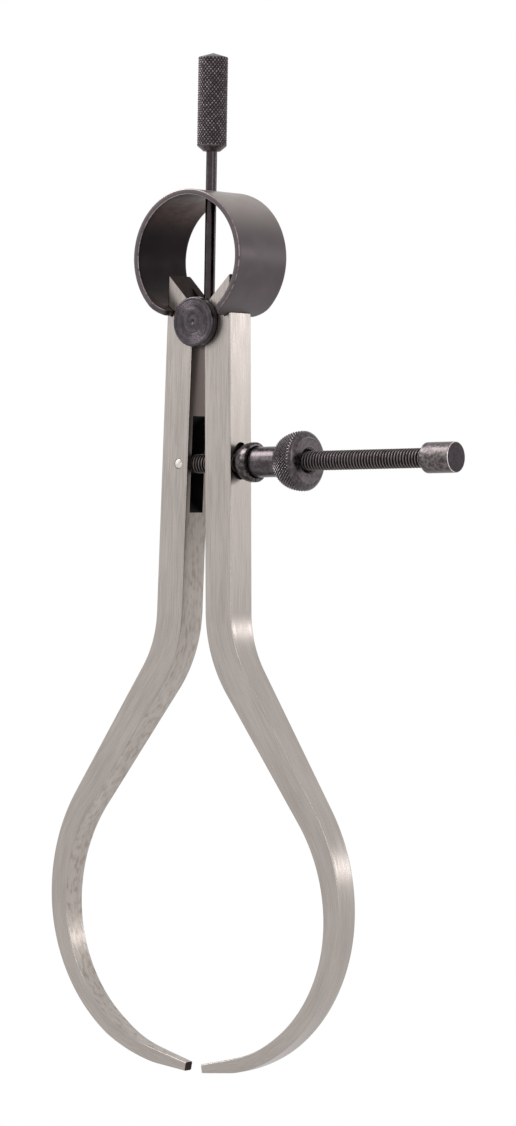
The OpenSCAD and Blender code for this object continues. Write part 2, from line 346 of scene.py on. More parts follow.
@dataclass(frozen=True)
class BluedStrip(Finish):
    """Rolled spring steel, oxide blackened: satin outside with a painted highlight on top, painted shade
    inside with painted light at its top and bottom, wear on its edges.
    """

    strength: float = 0.35
    # grains per millimetre of the clouds, the specks, and the patches of rubbing and painted light, drawn out
    # across the strip
    clouds: float = 0.18
    specks: float = 3.2
    rubbing: Place = (1.3, 0.5, 1.3)
    # levels of these patterns where a tone sets in and is reached
    cloud_levels: tuple[float, float] = (0.35, 0.68)
    speck_levels: tuple[float, float] = (0.45, 0.66)
    inside_levels: tuple[float, float] = (0.25, 0.7)
    edge_levels: tuple[float, float] = (0.36, 0.6)
    # painted shade inside the ring, and painted light towards the inside's top and bottom
    inside: str = "#170F11"
    inside_worn: str = "#4C3530"
    # painted highlight: the outside's tone at the top, and the heights between which it fades in
    crown: str = "#958C88"
    crown_heights: tuple[float, float] = (15.5, 26.0)
    edge: str = "#968E8B"
    rim: str = "#5D5558"
    # height of the ring's centre; the painted shade inside is deepest there and turns to painted light this
    # far from it
    middle: float = 12.8
    rubbed_from: float = 4.5
    rubbed_to: float = 12.0

    def paint(self, tree: bpy.types.NodeTree) -> None:
        """Draws the outside and its painted top highlight, the inside's painted shade and light, the cut rim
        and the rubbed edge over it.

        Args:
            tree: the material's tree.
        """
        place = self.millimetres(tree)
        cloud = self.grains(tree, place, (self.clouds,) * 3, 3.0)
        speck = self.grains(tree, place, (self.specks,) * 3)
        rub = self.grains(tree, place, self.rubbing, 4.0)
        height = add_node(tree, "ShaderNodeSeparateXYZ", {0: place}).outputs["Z"]
        outer = self.faded(tree, cloud, self.cloud_levels, self.dark, self.light)
        # painted highlight: the outside turns lighter towards its top
        outer = self.faded(tree, height, self.crown_heights, outer, self.crown)
        # painted light: the inside lightens in patches towards its top and bottom, with painted shade in its
        # middle
        offset = add_node(tree, "ShaderNodeMath", {0: height, 1: self.middle}, operation="SUBTRACT")
        offset = add_node(tree, "ShaderNodeMath", {0: offset}, operation="ABSOLUTE")
        rubbed = self.joined(tree, "MULTIPLY", (offset, self.rubbed_from, self.rubbed_to),
                             (rub, *self.inside_levels, 0.35, 1.0))
        inner = add_node(tree, "ShaderNodeMix", {0: rubbed, 6: self.inside, 7: self.inside_worn},
                         data_type="RGBA")
        flecked = self.faded(tree, speck, self.speck_levels, self.dark, self.rim)
        inside, rim, edge = (add_node(tree, "ShaderNodeAttribute", attribute_name=mark).outputs["Fac"]
                             for mark in ("inside", "rim", "edge"))
        low, high = self.edge_levels
        patchy = add_node(tree, "ShaderNodeMapRange", {0: rub, 1: low, 2: high},
                          interpolation_type="SMOOTHSTEP")
        worn = add_node(tree, "ShaderNodeMath", {0: edge, 1: patchy}, operation="MULTIPLY")
        colour = outer
        for share, layer in ((inside, inner), (rim, flecked), (worn, self.edge)):
            colour = add_node(tree, "ShaderNodeMix", {0: share, 6: colour, 7: layer}, data_type="RGBA")
        self.coat(tree, colour, speck, cloud)


@dataclass(frozen=True)
class TurnedSteel(Finish):
    """Steel turned on a lathe and blackened: fine rings about the axis that catch the light."""

    strength: float = 0.8
    spread: tuple[float, float] = (0.06, 0.08)
    # rings per millimetre of the tool's path, and how far they waver round the axis
    rings: float = 3.2
    waver: float = 0.35
    # size of the patches, in millimetres
    mottle: float = 0.8
    # levels where rings and patches set in and end, and the rings' part in the tone
    ring_levels: tuple[float, float] = (0.38, 0.66)
    mottle_levels: tuple[float, float] = (0.4, 0.7)
    ringed: float = 0.6

    def patterns(self, tree: bpy.types.NodeTree) -> tuple[Any, Any]:
        """Draws the turning rings and the patches.

        Args:
            tree: the material's tree.

        Returns:
            The rings and the patches.
        """
        place = add_node(tree, "ShaderNodeAttribute", attribute_name="place").outputs["Vector"]
        parts = add_node(tree, "ShaderNodeSeparateXYZ", {0: place}).outputs
        flat = add_node(tree, "ShaderNodeCombineXYZ", {1: parts[1], 2: parts[2]})
        reach = add_node(tree, "ShaderNodeVectorMath", {0: flat}, operation="LENGTH").outputs["Value"]
        toward = add_node(tree, "ShaderNodeVectorMath", {0: flat}, operation="NORMALIZE")
        path = add_node(tree, "ShaderNodeMath", {0: parts[0], 1: reach}, operation="ADD")
        along = add_node(tree, "ShaderNodeMath", {0: path, 1: self.rings}, operation="MULTIPLY")
        around = add_node(tree, "ShaderNodeVectorMath", {0: toward, "Scale": self.waver}, operation="SCALE")
        shift = add_node(tree, "ShaderNodeCombineXYZ", {0: along})
        wound = add_node(tree, "ShaderNodeVectorMath", {0: shift, 1: around}, operation="ADD")
        ring = add_node(tree, "ShaderNodeTexNoise", {"Vector": wound, "Scale": 1.0, "Detail": 3.0})
        return ring, self.grains(tree, place, (1 / self.mottle,) * 3, 3.0)

    def paint(self, tree: bpy.types.NodeTree) -> None:
        """Draws rings over patches.

        Args:
            tree: the material's tree.
        """
        ring, mottle = self.patterns(tree)
        share = self.joined(tree, "ADD", (ring, *self.ring_levels, 0.0, self.ringed),
                            (mottle, *self.mottle_levels, 0.0, 1 - self.ringed))
        colour = add_node(tree, "ShaderNodeMix", {0: share, 6: self.dark, 7: self.light}, data_type="RGBA")
        self.coat(tree, colour, ring, ring)


@dataclass(frozen=True)
class RidgedSteel(TurnedSteel):
    """Blackened steel with rolled ridges: the oxide is rubbed off the crests and kept in the grooves."""

    strength: float = 0.5
    groove: str = "#171315"
    crest: str = "#A79F9C"
    # level of the patches above which crests are rubbed bright; lower means more wear
    wear: float = 0.54
    wear_fade: float = 0.12
    mottle_levels: tuple[float, float] = (0.35, 0.7)
    # heights on a ridge, from 0 to 1: where the groove's shade ends, and where the rubbed crest starts
    groove_levels: tuple[float, float] = (0.12, 0.5)
    crest_levels: tuple[float, float] = (0.72, 0.95)

    def paint(self, tree: bpy.types.NodeTree) -> None:
        """Darkens the grooves and rubs the crests over the patches.

        Args:
            tree: the material's tree.
        """
        ring, mottle = self.patterns(tree)
        height = add_node(tree, "ShaderNodeAttribute", attribute_name="crest").outputs["Fac"]
        body = self.faded(tree, mottle, self.mottle_levels, self.dark, self.light)
        colour = self.faded(tree, height, self.groove_levels, self.groove, body)
        rubbed = self.joined(tree, "MULTIPLY", (height, *self.crest_levels),
                             (mottle, self.wear - self.wear_fade, self.wear + self.wear_fade))
        colour = add_node(tree, "ShaderNodeMix", {0: rubbed, 6: colour, 7: self.crest}, data_type="RGBA")
        self.coat(tree, colour, ring, mottle)


@dataclass(frozen=True)
class BrightSteel(Finish):
    """Drawn silver-steel pin, filed flush: pale, with a few small dents."""

    # dents per millimetre, and the levels where they set in and end
    dents: float = 1.6
    levels: tuple[float, float] = (0.35, 0.65)

    def paint(self, tree: bpy.types.NodeTree) -> None:
        """Draws the dents."""
        pits = self.grains(tree, self.millimetres(tree), (self.dents,) * 3)
        self.coat(tree, self.faded(tree, pits, self.levels, self.dark, self.light), pits)


@dataclass(frozen=True)
class Axis:
    """A straight line that turned pieces are built along."""

    origin: Place
    along: Place
    across: Place = (0.0, 1.0, 0.0)

    def directions(self) -> np.ndarray:
        """Gives the line's three directions as rows.

        Returns:
            Along, across and the third, each of length 1.
        """
        first = np.array(self.along, float)
        first /= np.linalg.norm(first)
        second = np.array(self.across, float)
        second -= first * (second @ first)
        second /= np.linalg.norm(second)
        return np.array([first, second, np.cross(first, second)])

    def placed(self, local: np.ndarray) -> np.ndarray:
        """Turns local millimetres to metres in the frame.

        Args:
            local: rows of along, across and third, in millimetres.

        Returns:
            Rows of x, y and z in metres.
        """
        return (np.array(self.origin) + local @ self.directions()) * MM


def store(mesh: bpy.types.Mesh, name: str, values: np.ndarray) -> None:
    """Stores a number or a vector for each vertex.

    Args:
        mesh: the mesh.
        name: name that the materials read.
        values: one row for each vertex.
    """
    kind = "FLOAT_VECTOR" if values.ndim == 2 else "FLOAT"
    layer = mesh.attributes.get(name) or mesh.attributes.new(name, kind, "POINT")
    layer.data.foreach_set("vector" if values.ndim == 2 else "value", values.astype(np.float32).ravel())


def corners_of(mesh: bpy.types.Mesh) -> np.ndarray:
    """Gives the mesh's vertices as rows.

    Args:
        mesh: the mesh.

    Returns:
        Rows of x, y and z.
    """
    rows = np.zeros(len(mesh.vertices) * 3, np.float32)
    mesh.vertices.foreach_get("co", rows)
    return rows.reshape(-1, 3).astype(float)


def closed_mesh(name: str, corners: np.ndarray, faces: list[list[int]]) -> bpy.types.Mesh:
    """Makes a mesh whose faces point outwards.

    Args:
        name: the mesh's name.
        corners: rows of x, y and z in metres.
        faces: corner numbers of each face.

    Returns:
        The mesh.
    """
    mesh = bpy.data.meshes.new(name)
    mesh.from_pydata([tuple(c) for c in corners], [], faces)
    sheet = bmesh.new()
    sheet.from_mesh(mesh)
    bmesh.ops.recalc_face_normals(sheet, faces=sheet.faces)
    sheet.to_mesh(mesh)
    sheet.free()
    return mesh


def swept_mesh(name: str, rings: Sequence[np.ndarray]) -> bpy.types.Mesh:
    """Joins rings of corners into a closed mesh with a flat cap at each end.

    Args:
        name: the mesh's name.
        rings: rows of x, y and z for each ring, all of one length.

    Returns:
        The mesh.
    """
    count = len(rings[0])
    last = count * (len(rings) - 1)
    faces = [list(range(count - 1, -1, -1))]
    for start in range(0, last, count):
        for i in range(count):
            on = (i + 1) % count
            faces.append([start + i, start + on, start + count + on, start + count + i])
    faces.append(list(range(last, last + count)))
    return closed_mesh(name, np.concatenate(rings), faces)


def turned_about_y(corners: np.ndarray, degrees: float) -> np.ndarray:
    """Turns rows of x, y and z about the Y axis through the origin."""
    return corners @ np.array(Matrix.Rotation(math.radians(degrees), 3, "Y")).T


def shown(name: str, mesh: bpy.types.Mesh, crease: float = 32.0) -> bpy.types.Object:
    """Puts a mesh in the scene, smooth where its faces meet at less than the crease angle.

    Args:
        name: the piece's name.
        mesh: its mesh.
        crease: angle in degrees from which an edge stays sharp.

    Returns:
        The new object.
    """
    mesh.shade_smooth()
    mesh.set_sharp_from_angle(angle=math.radians(crease))
    piece = bpy.data.objects.new(name, mesh)
    bpy.context.scene.collection.objects.link(piece)
    return piece


def settled(piece: bpy.types.Object) -> bpy.types.Object:
    """Turns a piece with modifiers into a plain mesh.

    Args:
        piece: an object with modifiers.

    Returns:
        The same object without them.
    """
    graph = bpy.context.evaluated_depsgraph_get()
    made = bpy.data.meshes.new_from_object(piece.evaluated_get(graph), preserve_all_data_layers=True,
                                           depsgraph=graph)
    piece.modifiers.clear()
    piece.data = made
    return piece


def cut(piece: bpy.types.Object, cutters: Sequence[bpy.types.Object]) -> bpy.types.Object:
    """Cuts shapes out of a piece, one after the other, and removes the shapes.

    Args:
        piece: the piece.
        cutters: the shapes, in the order of the cuts.

    Returns:
        The piece as a plain mesh.
    """
    for cutter in cutters:
        step = piece.modifiers.new("cut", "BOOLEAN")
        step.operation = "DIFFERENCE"
        step.solver = "EXACT"
        step.object = cutter
    settled(piece)
    for cutter in cutters:
        bpy.data.objects.remove(cutter)
    return piece


def evened(piece: bpy.types.Object, crease: float = 35.0) -> bpy.types.Object:
    """Keeps flat faces flat beside rounded edges, by weighting the normals with the faces' sizes.

    Args:
        piece: a finished piece.
        crease: angle in degrees from which an edge stays sharp.

    Returns:
        The piece.
    """
    piece.data.shade_smooth()
    piece.data.set_sharp_from_angle(angle=math.radians(crease))
    step = piece.modifiers.new("even", "WEIGHTED_NORMAL")
    step.keep_sharp = True
    return settled(piece)


def dressed(piece: bpy.types.Object, body: Body, nodes: Sequence[str],
            materials: Sequence[bpy.types.Material] = ()) -> bpy.types.Object:
    """Gives a piece its materials, its body and the CAD nodes that it stands for.

    Args:
        piece: the finished piece.
        body: the body it rides on.
        nodes: CAD nodes that it replaces.
        materials: materials by face index, where the mesh has none yet.

    Returns:
        The piece.
    """
    for material in materials:
        piece.data.materials.append(material)
    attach(piece, body.value)
    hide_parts(*nodes)
    LOG.info("%s rides on %s with %d faces", piece.name, body.value, len(piece.data.polygons))
    return piece


def turned_mesh(name: str, axis: Axis, profile: Profile, sides: int, ring: bool = False) -> bpy.types.Mesh:
    """Turns a profile about an axis and stores each vertex's own place and outward direction.

    Args:
        name: the mesh's name.
        axis: the line it is turned about.
        profile: places and radii, from one end to the other, or round a loop.
        sides: faces round the axis.
        ring: True for a loop, which leaves a bore; otherwise both ends have radius 0.

    Returns:
        The closed mesh.
    """
    angles = np.arange(sides) * FULL_TURN / sides
    round_it = np.stack([np.zeros(sides), np.cos(angles), np.sin(angles)], axis=1)
    rows: list[list[int]] = []
    local: list[np.ndarray] = []
    count = 0
    for place, radius in profile:
        if radius <= 0:
            local.append(np.array([[place, 0.0, 0.0]]))
            rows.append([count] * sides)
            count += 1
        else:
            local.append(round_it * radius + np.array([place, 0.0, 0.0]))
            rows.append(list(range(count, count + sides)))
            count += sides
    pairs = list(zip(rows, rows[1:]))
    if ring:
        pairs.append((rows[-1], rows[0]))
    faces: list[list[int]] = []
    for first, second in pairs:
        for i in range(sides):
            j = (i + 1) % sides
            corners = [first[i], first[j], second[j], second[i]]
            faces.append(list(dict.fromkeys(corners)))
    own = np.concatenate(local)
    mesh = closed_mesh(name, axis.placed(own), faces)
    store(mesh, "place", own)
    away = own * np.array([0.0, 1.0, 1.0])
    length = np.maximum(np.linalg.norm(away, axis=1, keepdims=True), 1e-9)
    store(mesh, "outward", (away / length) @ axis.directions())
    return mesh


def turned_piece(name: str, axis: Axis, profile: Profile, sides: int, crease: float = 32.0,
                 ring: bool = False) -> bpy.types.Object:
    """Turns a profile about an axis and puts the piece in the scene."""
    return shown(name, turned_mesh(name, axis, profile, sides, ring), crease)


def rod(low: float, high: float, radius: float) -> Profile:
    """Gives the profile of a plain round bar."""
    return [(low, 0), (low, radius), (high, radius), (high, 0)]


def rounded(points: Profile, radii: dict[int, float], steps: int = 4) -> Profile:
    """Rounds chosen corners of a profile.

    Args:
        points: the profile's corners.
        radii: corner number to radius.
        steps: faces in each rounding.

    Returns:
        The profile with arcs in place of those corners.
    """
    result: Profile = []
    for i, point in enumerate(points):
        if i not in radii:
            result.append(point)
            continue
        here = np.array(point)
        back = np.array(points[i - 1]) - here
        on = np.array(points[(i + 1) % len(points)]) - here
        back /= np.linalg.norm(back)
        on /= np.linalg.norm(on)
        half = math.acos(max(-1.0, min(1.0, float(back @ on)))) / 2
        run = radii[i] / math.tan(half)
        middle = here + (back + on) / np.linalg.norm(back + on) * radii[i] / math.sin(half)
        start, end = here + back * run - middle, here + on * run - middle
        sweep = math.pi - 2 * half
        for k in range(steps + 1):
            share = k / steps
            mix = start * math.sin((1 - share) * sweep) + end * math.sin(share * sweep)
            arc = middle + mix / math.sin(sweep)
            result.append((float(arc[0]), float(arc[1])))
    return result


def spaced(profile: Profile, step: float) -> Profile:
    """Adds points to a profile so that no part of it is longer than a step.

    Args:
        profile: places and radii.
        step: longest part, in millimetres.

    Returns:
        The finer profile.
    """
    result: Profile = [profile[0]]
    for (a, r), (b, s) in zip(profile, profile[1:]):
        parts = max(1, math.ceil(math.hypot(b - a, s - r) / step))
        result += [(a + (b - a) * k / parts, r + (s - r) * k / parts) for k in range(1, parts + 1)]
    return result


def grooved(place: float, start: float, end: float, step: float, depth: float) -> Profile:
    """Gives the profile of a faced end with fine concentric grooves.

    Args:
        place: where the face lies along the axis.
        start: radius where the grooves start.
        end: radius where they end.
        step: distance from a groove to the next crest.
        depth: depth of the grooves.

    Returns:
        Profile points from start to end.
    """
    count = 2 * round(abs(end - start) / step / 2)
    return [(place - (depth if i % 2 else 0.0), start + (end - start) * i / count) for i in range(count + 1)]


class RidgeTree:
    """The geometry node tree that rolls helical ridges into a turned surface.

    One family of ridges is a screw thread, and two that cross are a diamond knurl.
    """

    # named inputs with their defaults: lengths in millimetres, Crossing 1 for a knurl,
    # Flat the share of a ridge that is flat on top
    NUMBERS = {"Starts": 1.0, "Lead": 1.0, "Depth": 0.1, "Crossing": 0.0, "Flat": 0.1, "From": 0.0, "To": 1.0,
               "Fade": 0.2}

    def __init__(self) -> None:
        """Builds the tree with its named inputs."""
        self.tree = bpy.data.node_groups.new("helical_ridges", "GeometryNodeTree")
        self.sockets: dict[str, str] = {}
        face = self.tree.interface
        face.new_socket("Geometry", in_out="OUTPUT", socket_type="NodeSocketGeometry")
        face.new_socket("Geometry", in_out="INPUT", socket_type="NodeSocketGeometry")
        for name, value in self.NUMBERS.items():
            socket = face.new_socket(name, in_out="INPUT", socket_type="NodeSocketFloat")
            socket.default_value = value
            self.sockets[name] = socket.identifier
        coat = face.new_socket("Material", in_out="INPUT", socket_type="NodeSocketMaterial")
        self.sockets["Material"] = coat.identifier
        self.build()

    def work_out(self, known: dict[str, Any], steps: Sequence[tuple]) -> None:
        """Adds a chain of calculations.

        Args:
            known: outputs by name, which gets each result as well.
            steps: for each its name, its operation, and numbers or names of known outputs.
        """
        for name, operation, *values in steps:
            inputs = {i: known[v] if isinstance(v, str) else v for i, v in enumerate(values)}
            known[name] = add_node(self.tree, "ShaderNodeMath", inputs, operation=operation)

    def build(self) -> None:
        """Adds the nodes between the inputs and the output."""
        tree = self.tree
        given = add_node(tree, "NodeGroupInput").outputs
        place, outward = (add_node(tree, "GeometryNodeInputNamedAttribute", {"Name": name},
                                   data_type="FLOAT_VECTOR") for name in ("place", "outward"))
        parts = add_node(tree, "ShaderNodeSeparateXYZ", {0: place}).outputs
        known: dict[str, Any] = {name: given[name] for name in self.NUMBERS}
        known |= {"along": parts["X"], "across": parts["Y"], "third": parts["Z"]}
        self.work_out(known, [
            ("angle", "ARCTAN2", "third", "across"), ("turns", "DIVIDE", "angle", FULL_TURN),
            ("turn", "MULTIPLY", "turns", "Starts"),
            ("leads", "DIVIDE", "along", "Lead"), ("climb", "MULTIPLY", "leads", "Starts"),
            ("sloping", "SUBTRACT", 1.0, "Flat")])
        for family, lean in (("first", "ADD"), ("second", "SUBTRACT")):
            self.work_out(known, [
                ("ridges", lean, "turn", "climb"), ("phase", "FRACT", "ridges"),
                ("offset", "SUBTRACT", "phase", 0.5), ("distance", "ABSOLUTE", "offset"),
                ("double", "MULTIPLY", "distance", 2.0), ("slope", "DIVIDE", "double", "sloping"),
                (family, "MINIMUM", "slope", 1.0)])
        self.work_out(known, [
            ("lower", "MINIMUM", "first", "second"), ("drop", "SUBTRACT", "lower", "first"),
            ("crossed", "MULTIPLY", "drop", "Crossing"), ("crest", "ADD", "first", "crossed"),
            ("past", "SUBTRACT", "along", "From"), ("risen", "DIVIDE", "past", "Fade"),
            ("left", "SUBTRACT", "To", "along"), ("fallen", "DIVIDE", "left", "Fade"),
            ("nearest", "MINIMUM", "risen", "fallen"), ("above", "MAXIMUM", "nearest", 0.0),
            ("within", "MINIMUM", "above", 1.0),
            ("below", "SUBTRACT", "crest", 1.0), ("sunk", "MULTIPLY", "below", "within"),
            ("deep", "MULTIPLY", "sunk", "Depth"), ("height", "MULTIPLY", "deep", MM),
            ("over", "SUBTRACT", "crest", PLAIN_CREST), ("lift", "MULTIPLY", "over", "within"),
            ("level", "ADD", "lift", PLAIN_CREST)])
        offset = add_node(tree, "ShaderNodeVectorMath", {0: outward, "Scale": known["height"]},
                          operation="SCALE")
        kept = add_node(tree, "GeometryNodeStoreNamedAttribute",
                        {"Geometry": given["Geometry"], "Name": "crest", "Value": known["level"]},
                        data_type="FLOAT", domain="POINT")
        moved = add_node(tree, "GeometryNodeSetPosition", {"Geometry": kept, "Offset": offset})
        real = add_node(tree, "GeometryNodeRealizeInstances", {"Geometry": moved})
        coated = add_node(tree, "GeometryNodeSetMaterial", {"Geometry": real, "Material": given["Material"]})
        add_node(tree, "NodeGroupOutput", {"Geometry": coated})

    def rolled(self, piece: bpy.types.Object, material: bpy.types.Material,
               **values: float) -> bpy.types.Object:
        """Rolls ridges into a piece and makes it a plain mesh.

        Args:
            piece: a turned piece.
            material: its finish.
            values: the tree's inputs by name.

        Returns:
            The piece.
        """
        step = piece.modifiers.new("ridges", "NODES")
        step.node_group = self.tree
        step[self.sockets["Material"]] = material
        for name, value in values.items():
            step[self.sockets[name]] = float(value)
        piece.update_tag()
        return settled(piece)


@dataclass
class LegLine:
    """The centre line, width and depth of the right leg; the left leg is its mirror image."""

    # from the top: a straight, a bend, a slanted straight, the bow, the return bend and the nib,
    # with headings measured outwards from straight down
    width: float = 6.5
    depth: float = 6.9
    straight: float = 58.0
    bend_radius: float = 25.0
    slant: float = 35.0
    slant_length: float = 31.3
    bow_radius: float = 35.0
    return_radius: float = 31.6
    tip_angle: float = 80.0
    nib_width: float = 2.8
    tip_width: float = 1.8
    tip_gap: float = 4.2
    # how far the leg reaches over the fulcrum, and its inner edge's distance from the middle
    top: float = 9.4
    inner: float = 1.5
    # how far the leg swings out in the rest pose, in degrees
    rest: float = 1.5
    nib_taper: float = 0.13
    taper_power: float = 1.6
    # the whole depth over these is half the depth where the bow ends, and half that of the tip
    thinning: tuple[float, float] = (3.0, 10.0)
    # longest stretch between stations on a curve, in millimetres
    step: float = 0.9
    stations: np.ndarray = field(init=False)
    taper_start: float = field(init=False)
    length: float = field(init=False)
    depth_levels: list[tuple[float, float]] = field(init=False)

    def __post_init__(self) -> None:
        """Lays out the stations as rows of x, z, heading in degrees and distance."""
        centre = self.inner + self.width / 2
        cosine, sine = math.cos(math.radians(self.rest)), math.sin(math.radians(self.rest))
        rows = [(centre * cosine - self.top * sine, self.top + 1, self.rest)]
        start = self.ahead((centre * cosine, 0.0), self.straight, self.rest)
        rows.append((*start, self.rest))
        rows += self.arc(start, self.bend_radius, self.rest, self.slant)
        rows.append((*self.ahead(rows[-1][:2], self.slant_length, self.slant), self.slant))
        slant_end = len(rows) - 1
        rows += self.arc(rows[-1][:2], self.bow_radius, self.slant, 0.0)
        rows += self.arc(rows[-1][:2], self.return_radius, 0.0, -self.tip_angle)
        return_end = rows[-1]
        run = (return_end[0] - self.tip_gap / 2) / math.sin(math.radians(self.tip_angle))
        nib = (self.nib_width - self.tip_width) / self.nib_taper
        for share in np.linspace(run - min(nib, run * 0.9), run, 8):
            rows.append((*self.ahead(return_end[:2], float(share), -self.tip_angle), -self.tip_angle))
        table = np.array(rows)
        gaps = np.linalg.norm(np.diff(table[:, :2], axis=0), axis=1)
        distance = np.concatenate([[0.0], np.cumsum(gaps)])
        self.stations = np.column_stack([table, distance])
        self.taper_start = float(distance[slant_end - 1])
        self.length = float(distance[-1])
        self.depth_levels = [(self.top + 2, self.depth / 2), (start[1], self.depth / 2),
                             (return_end[1] + self.return_radius * 0.15, self.depth / self.thinning[0]),
                             (table[-1, 1] - self.tip_width, self.depth / self.thinning[1])]

    @staticmethod
    def ahead(point: Sequence[float], length: float, heading: float) -> tuple[float, float]:
        """Gives the point further on along a heading, measured from straight down."""
        turn = math.radians(heading)
        return (point[0] + length * math.sin(turn), point[1] - length * math.cos(turn))

    def arc(self, point: Sequence[float], radius: float, start: float, end: float) -> list[Place]:
        """Lays stations along an arc.

        Args:
            point: where it starts.
            radius: its radius.
            start: heading at its start.
            end: heading at its end.

        Returns:
            Stations of x, z and heading, without the first.
        """
        side = math.copysign(1.0, end - start)
        steps = max(4, math.ceil(abs(math.radians(end - start)) * radius / self.step))
        first = math.radians(start)
        made = []
        for i in range(1, steps + 1):
            turn = math.radians(start + (end - start) * i / steps)
            made.append((point[0] + side * radius * (math.cos(first) - math.cos(turn)),
                         point[1] - side * radius * (math.sin(turn) - math.sin(first)),
                         math.degrees(turn)))
        return made

    def width_at(self, distance: float) -> float:
        """Gives the leg's width at a distance along its line.

        Args:
            distance: distance from the top, in millimetres.

        Returns:
            The width in millimetres.
        """
        left = (self.length - distance) / (self.length - self.taper_start)
        left = max(0.0, min(1.0, left))
        wide = self.nib_width + (self.width - self.nib_width) * left ** self.taper_power
        return min(wide, self.tip_width + self.nib_taper * (self.length - distance))

    def half_depth_at(self, height: float) -> float:
        """Gives half the leg's depth at a height over the fulcrum."""
        levels = self.depth_levels[::-1]
        return float(np.interp(height, [z for z, _ in levels], [d for _, d in levels]))

    def grain_at(self, corners: np.ndarray) -> np.ndarray:
        """Finds where vertices lie along and across the leg.

        Args:
            corners: rows of x, y and z in millimetres, on the right leg.

        Returns:
            Rows of distance along, distance across and depth, in millimetres.
        """
        rows = self.stations
        start, end = rows[:-1, :2], rows[1:, :2]
        span = end - start
        size = np.maximum((span ** 2).sum(1), 1e-9)
        flat = corners[:, [0, 2]]
        offset = flat[:, None, :] - start[None, :, :]
        share = np.clip((offset * span[None]).sum(2) / size[None], 0, 1)
        gap = offset - share[:, :, None] * span[None]
        best = (gap ** 2).sum(2).argmin(1)
        pick = np.arange(len(flat))
        along = rows[best, 3] + share[pick, best] * np.sqrt(size[best])
        nearest = gap[pick, best]
        turned = np.radians(rows[best, 2])
        across = nearest[:, 0] * np.cos(turned) + nearest[:, 1] * np.sin(turned)
        return np.column_stack([along, across, corners[:, 1]])


class LegFace(Enum):
    """The finishes and painted shades of a leg's faces, by their material index."""

    GROUND = 0
    # near-black painted shade in the hollows, and on the left leg's nib and slope
    SCALE = 1
    # near-black painted shade inside the slot and the passage
    CAVITY = 2
    # the inner faces: brown spots, and painted shade towards the top
    WORN = 3


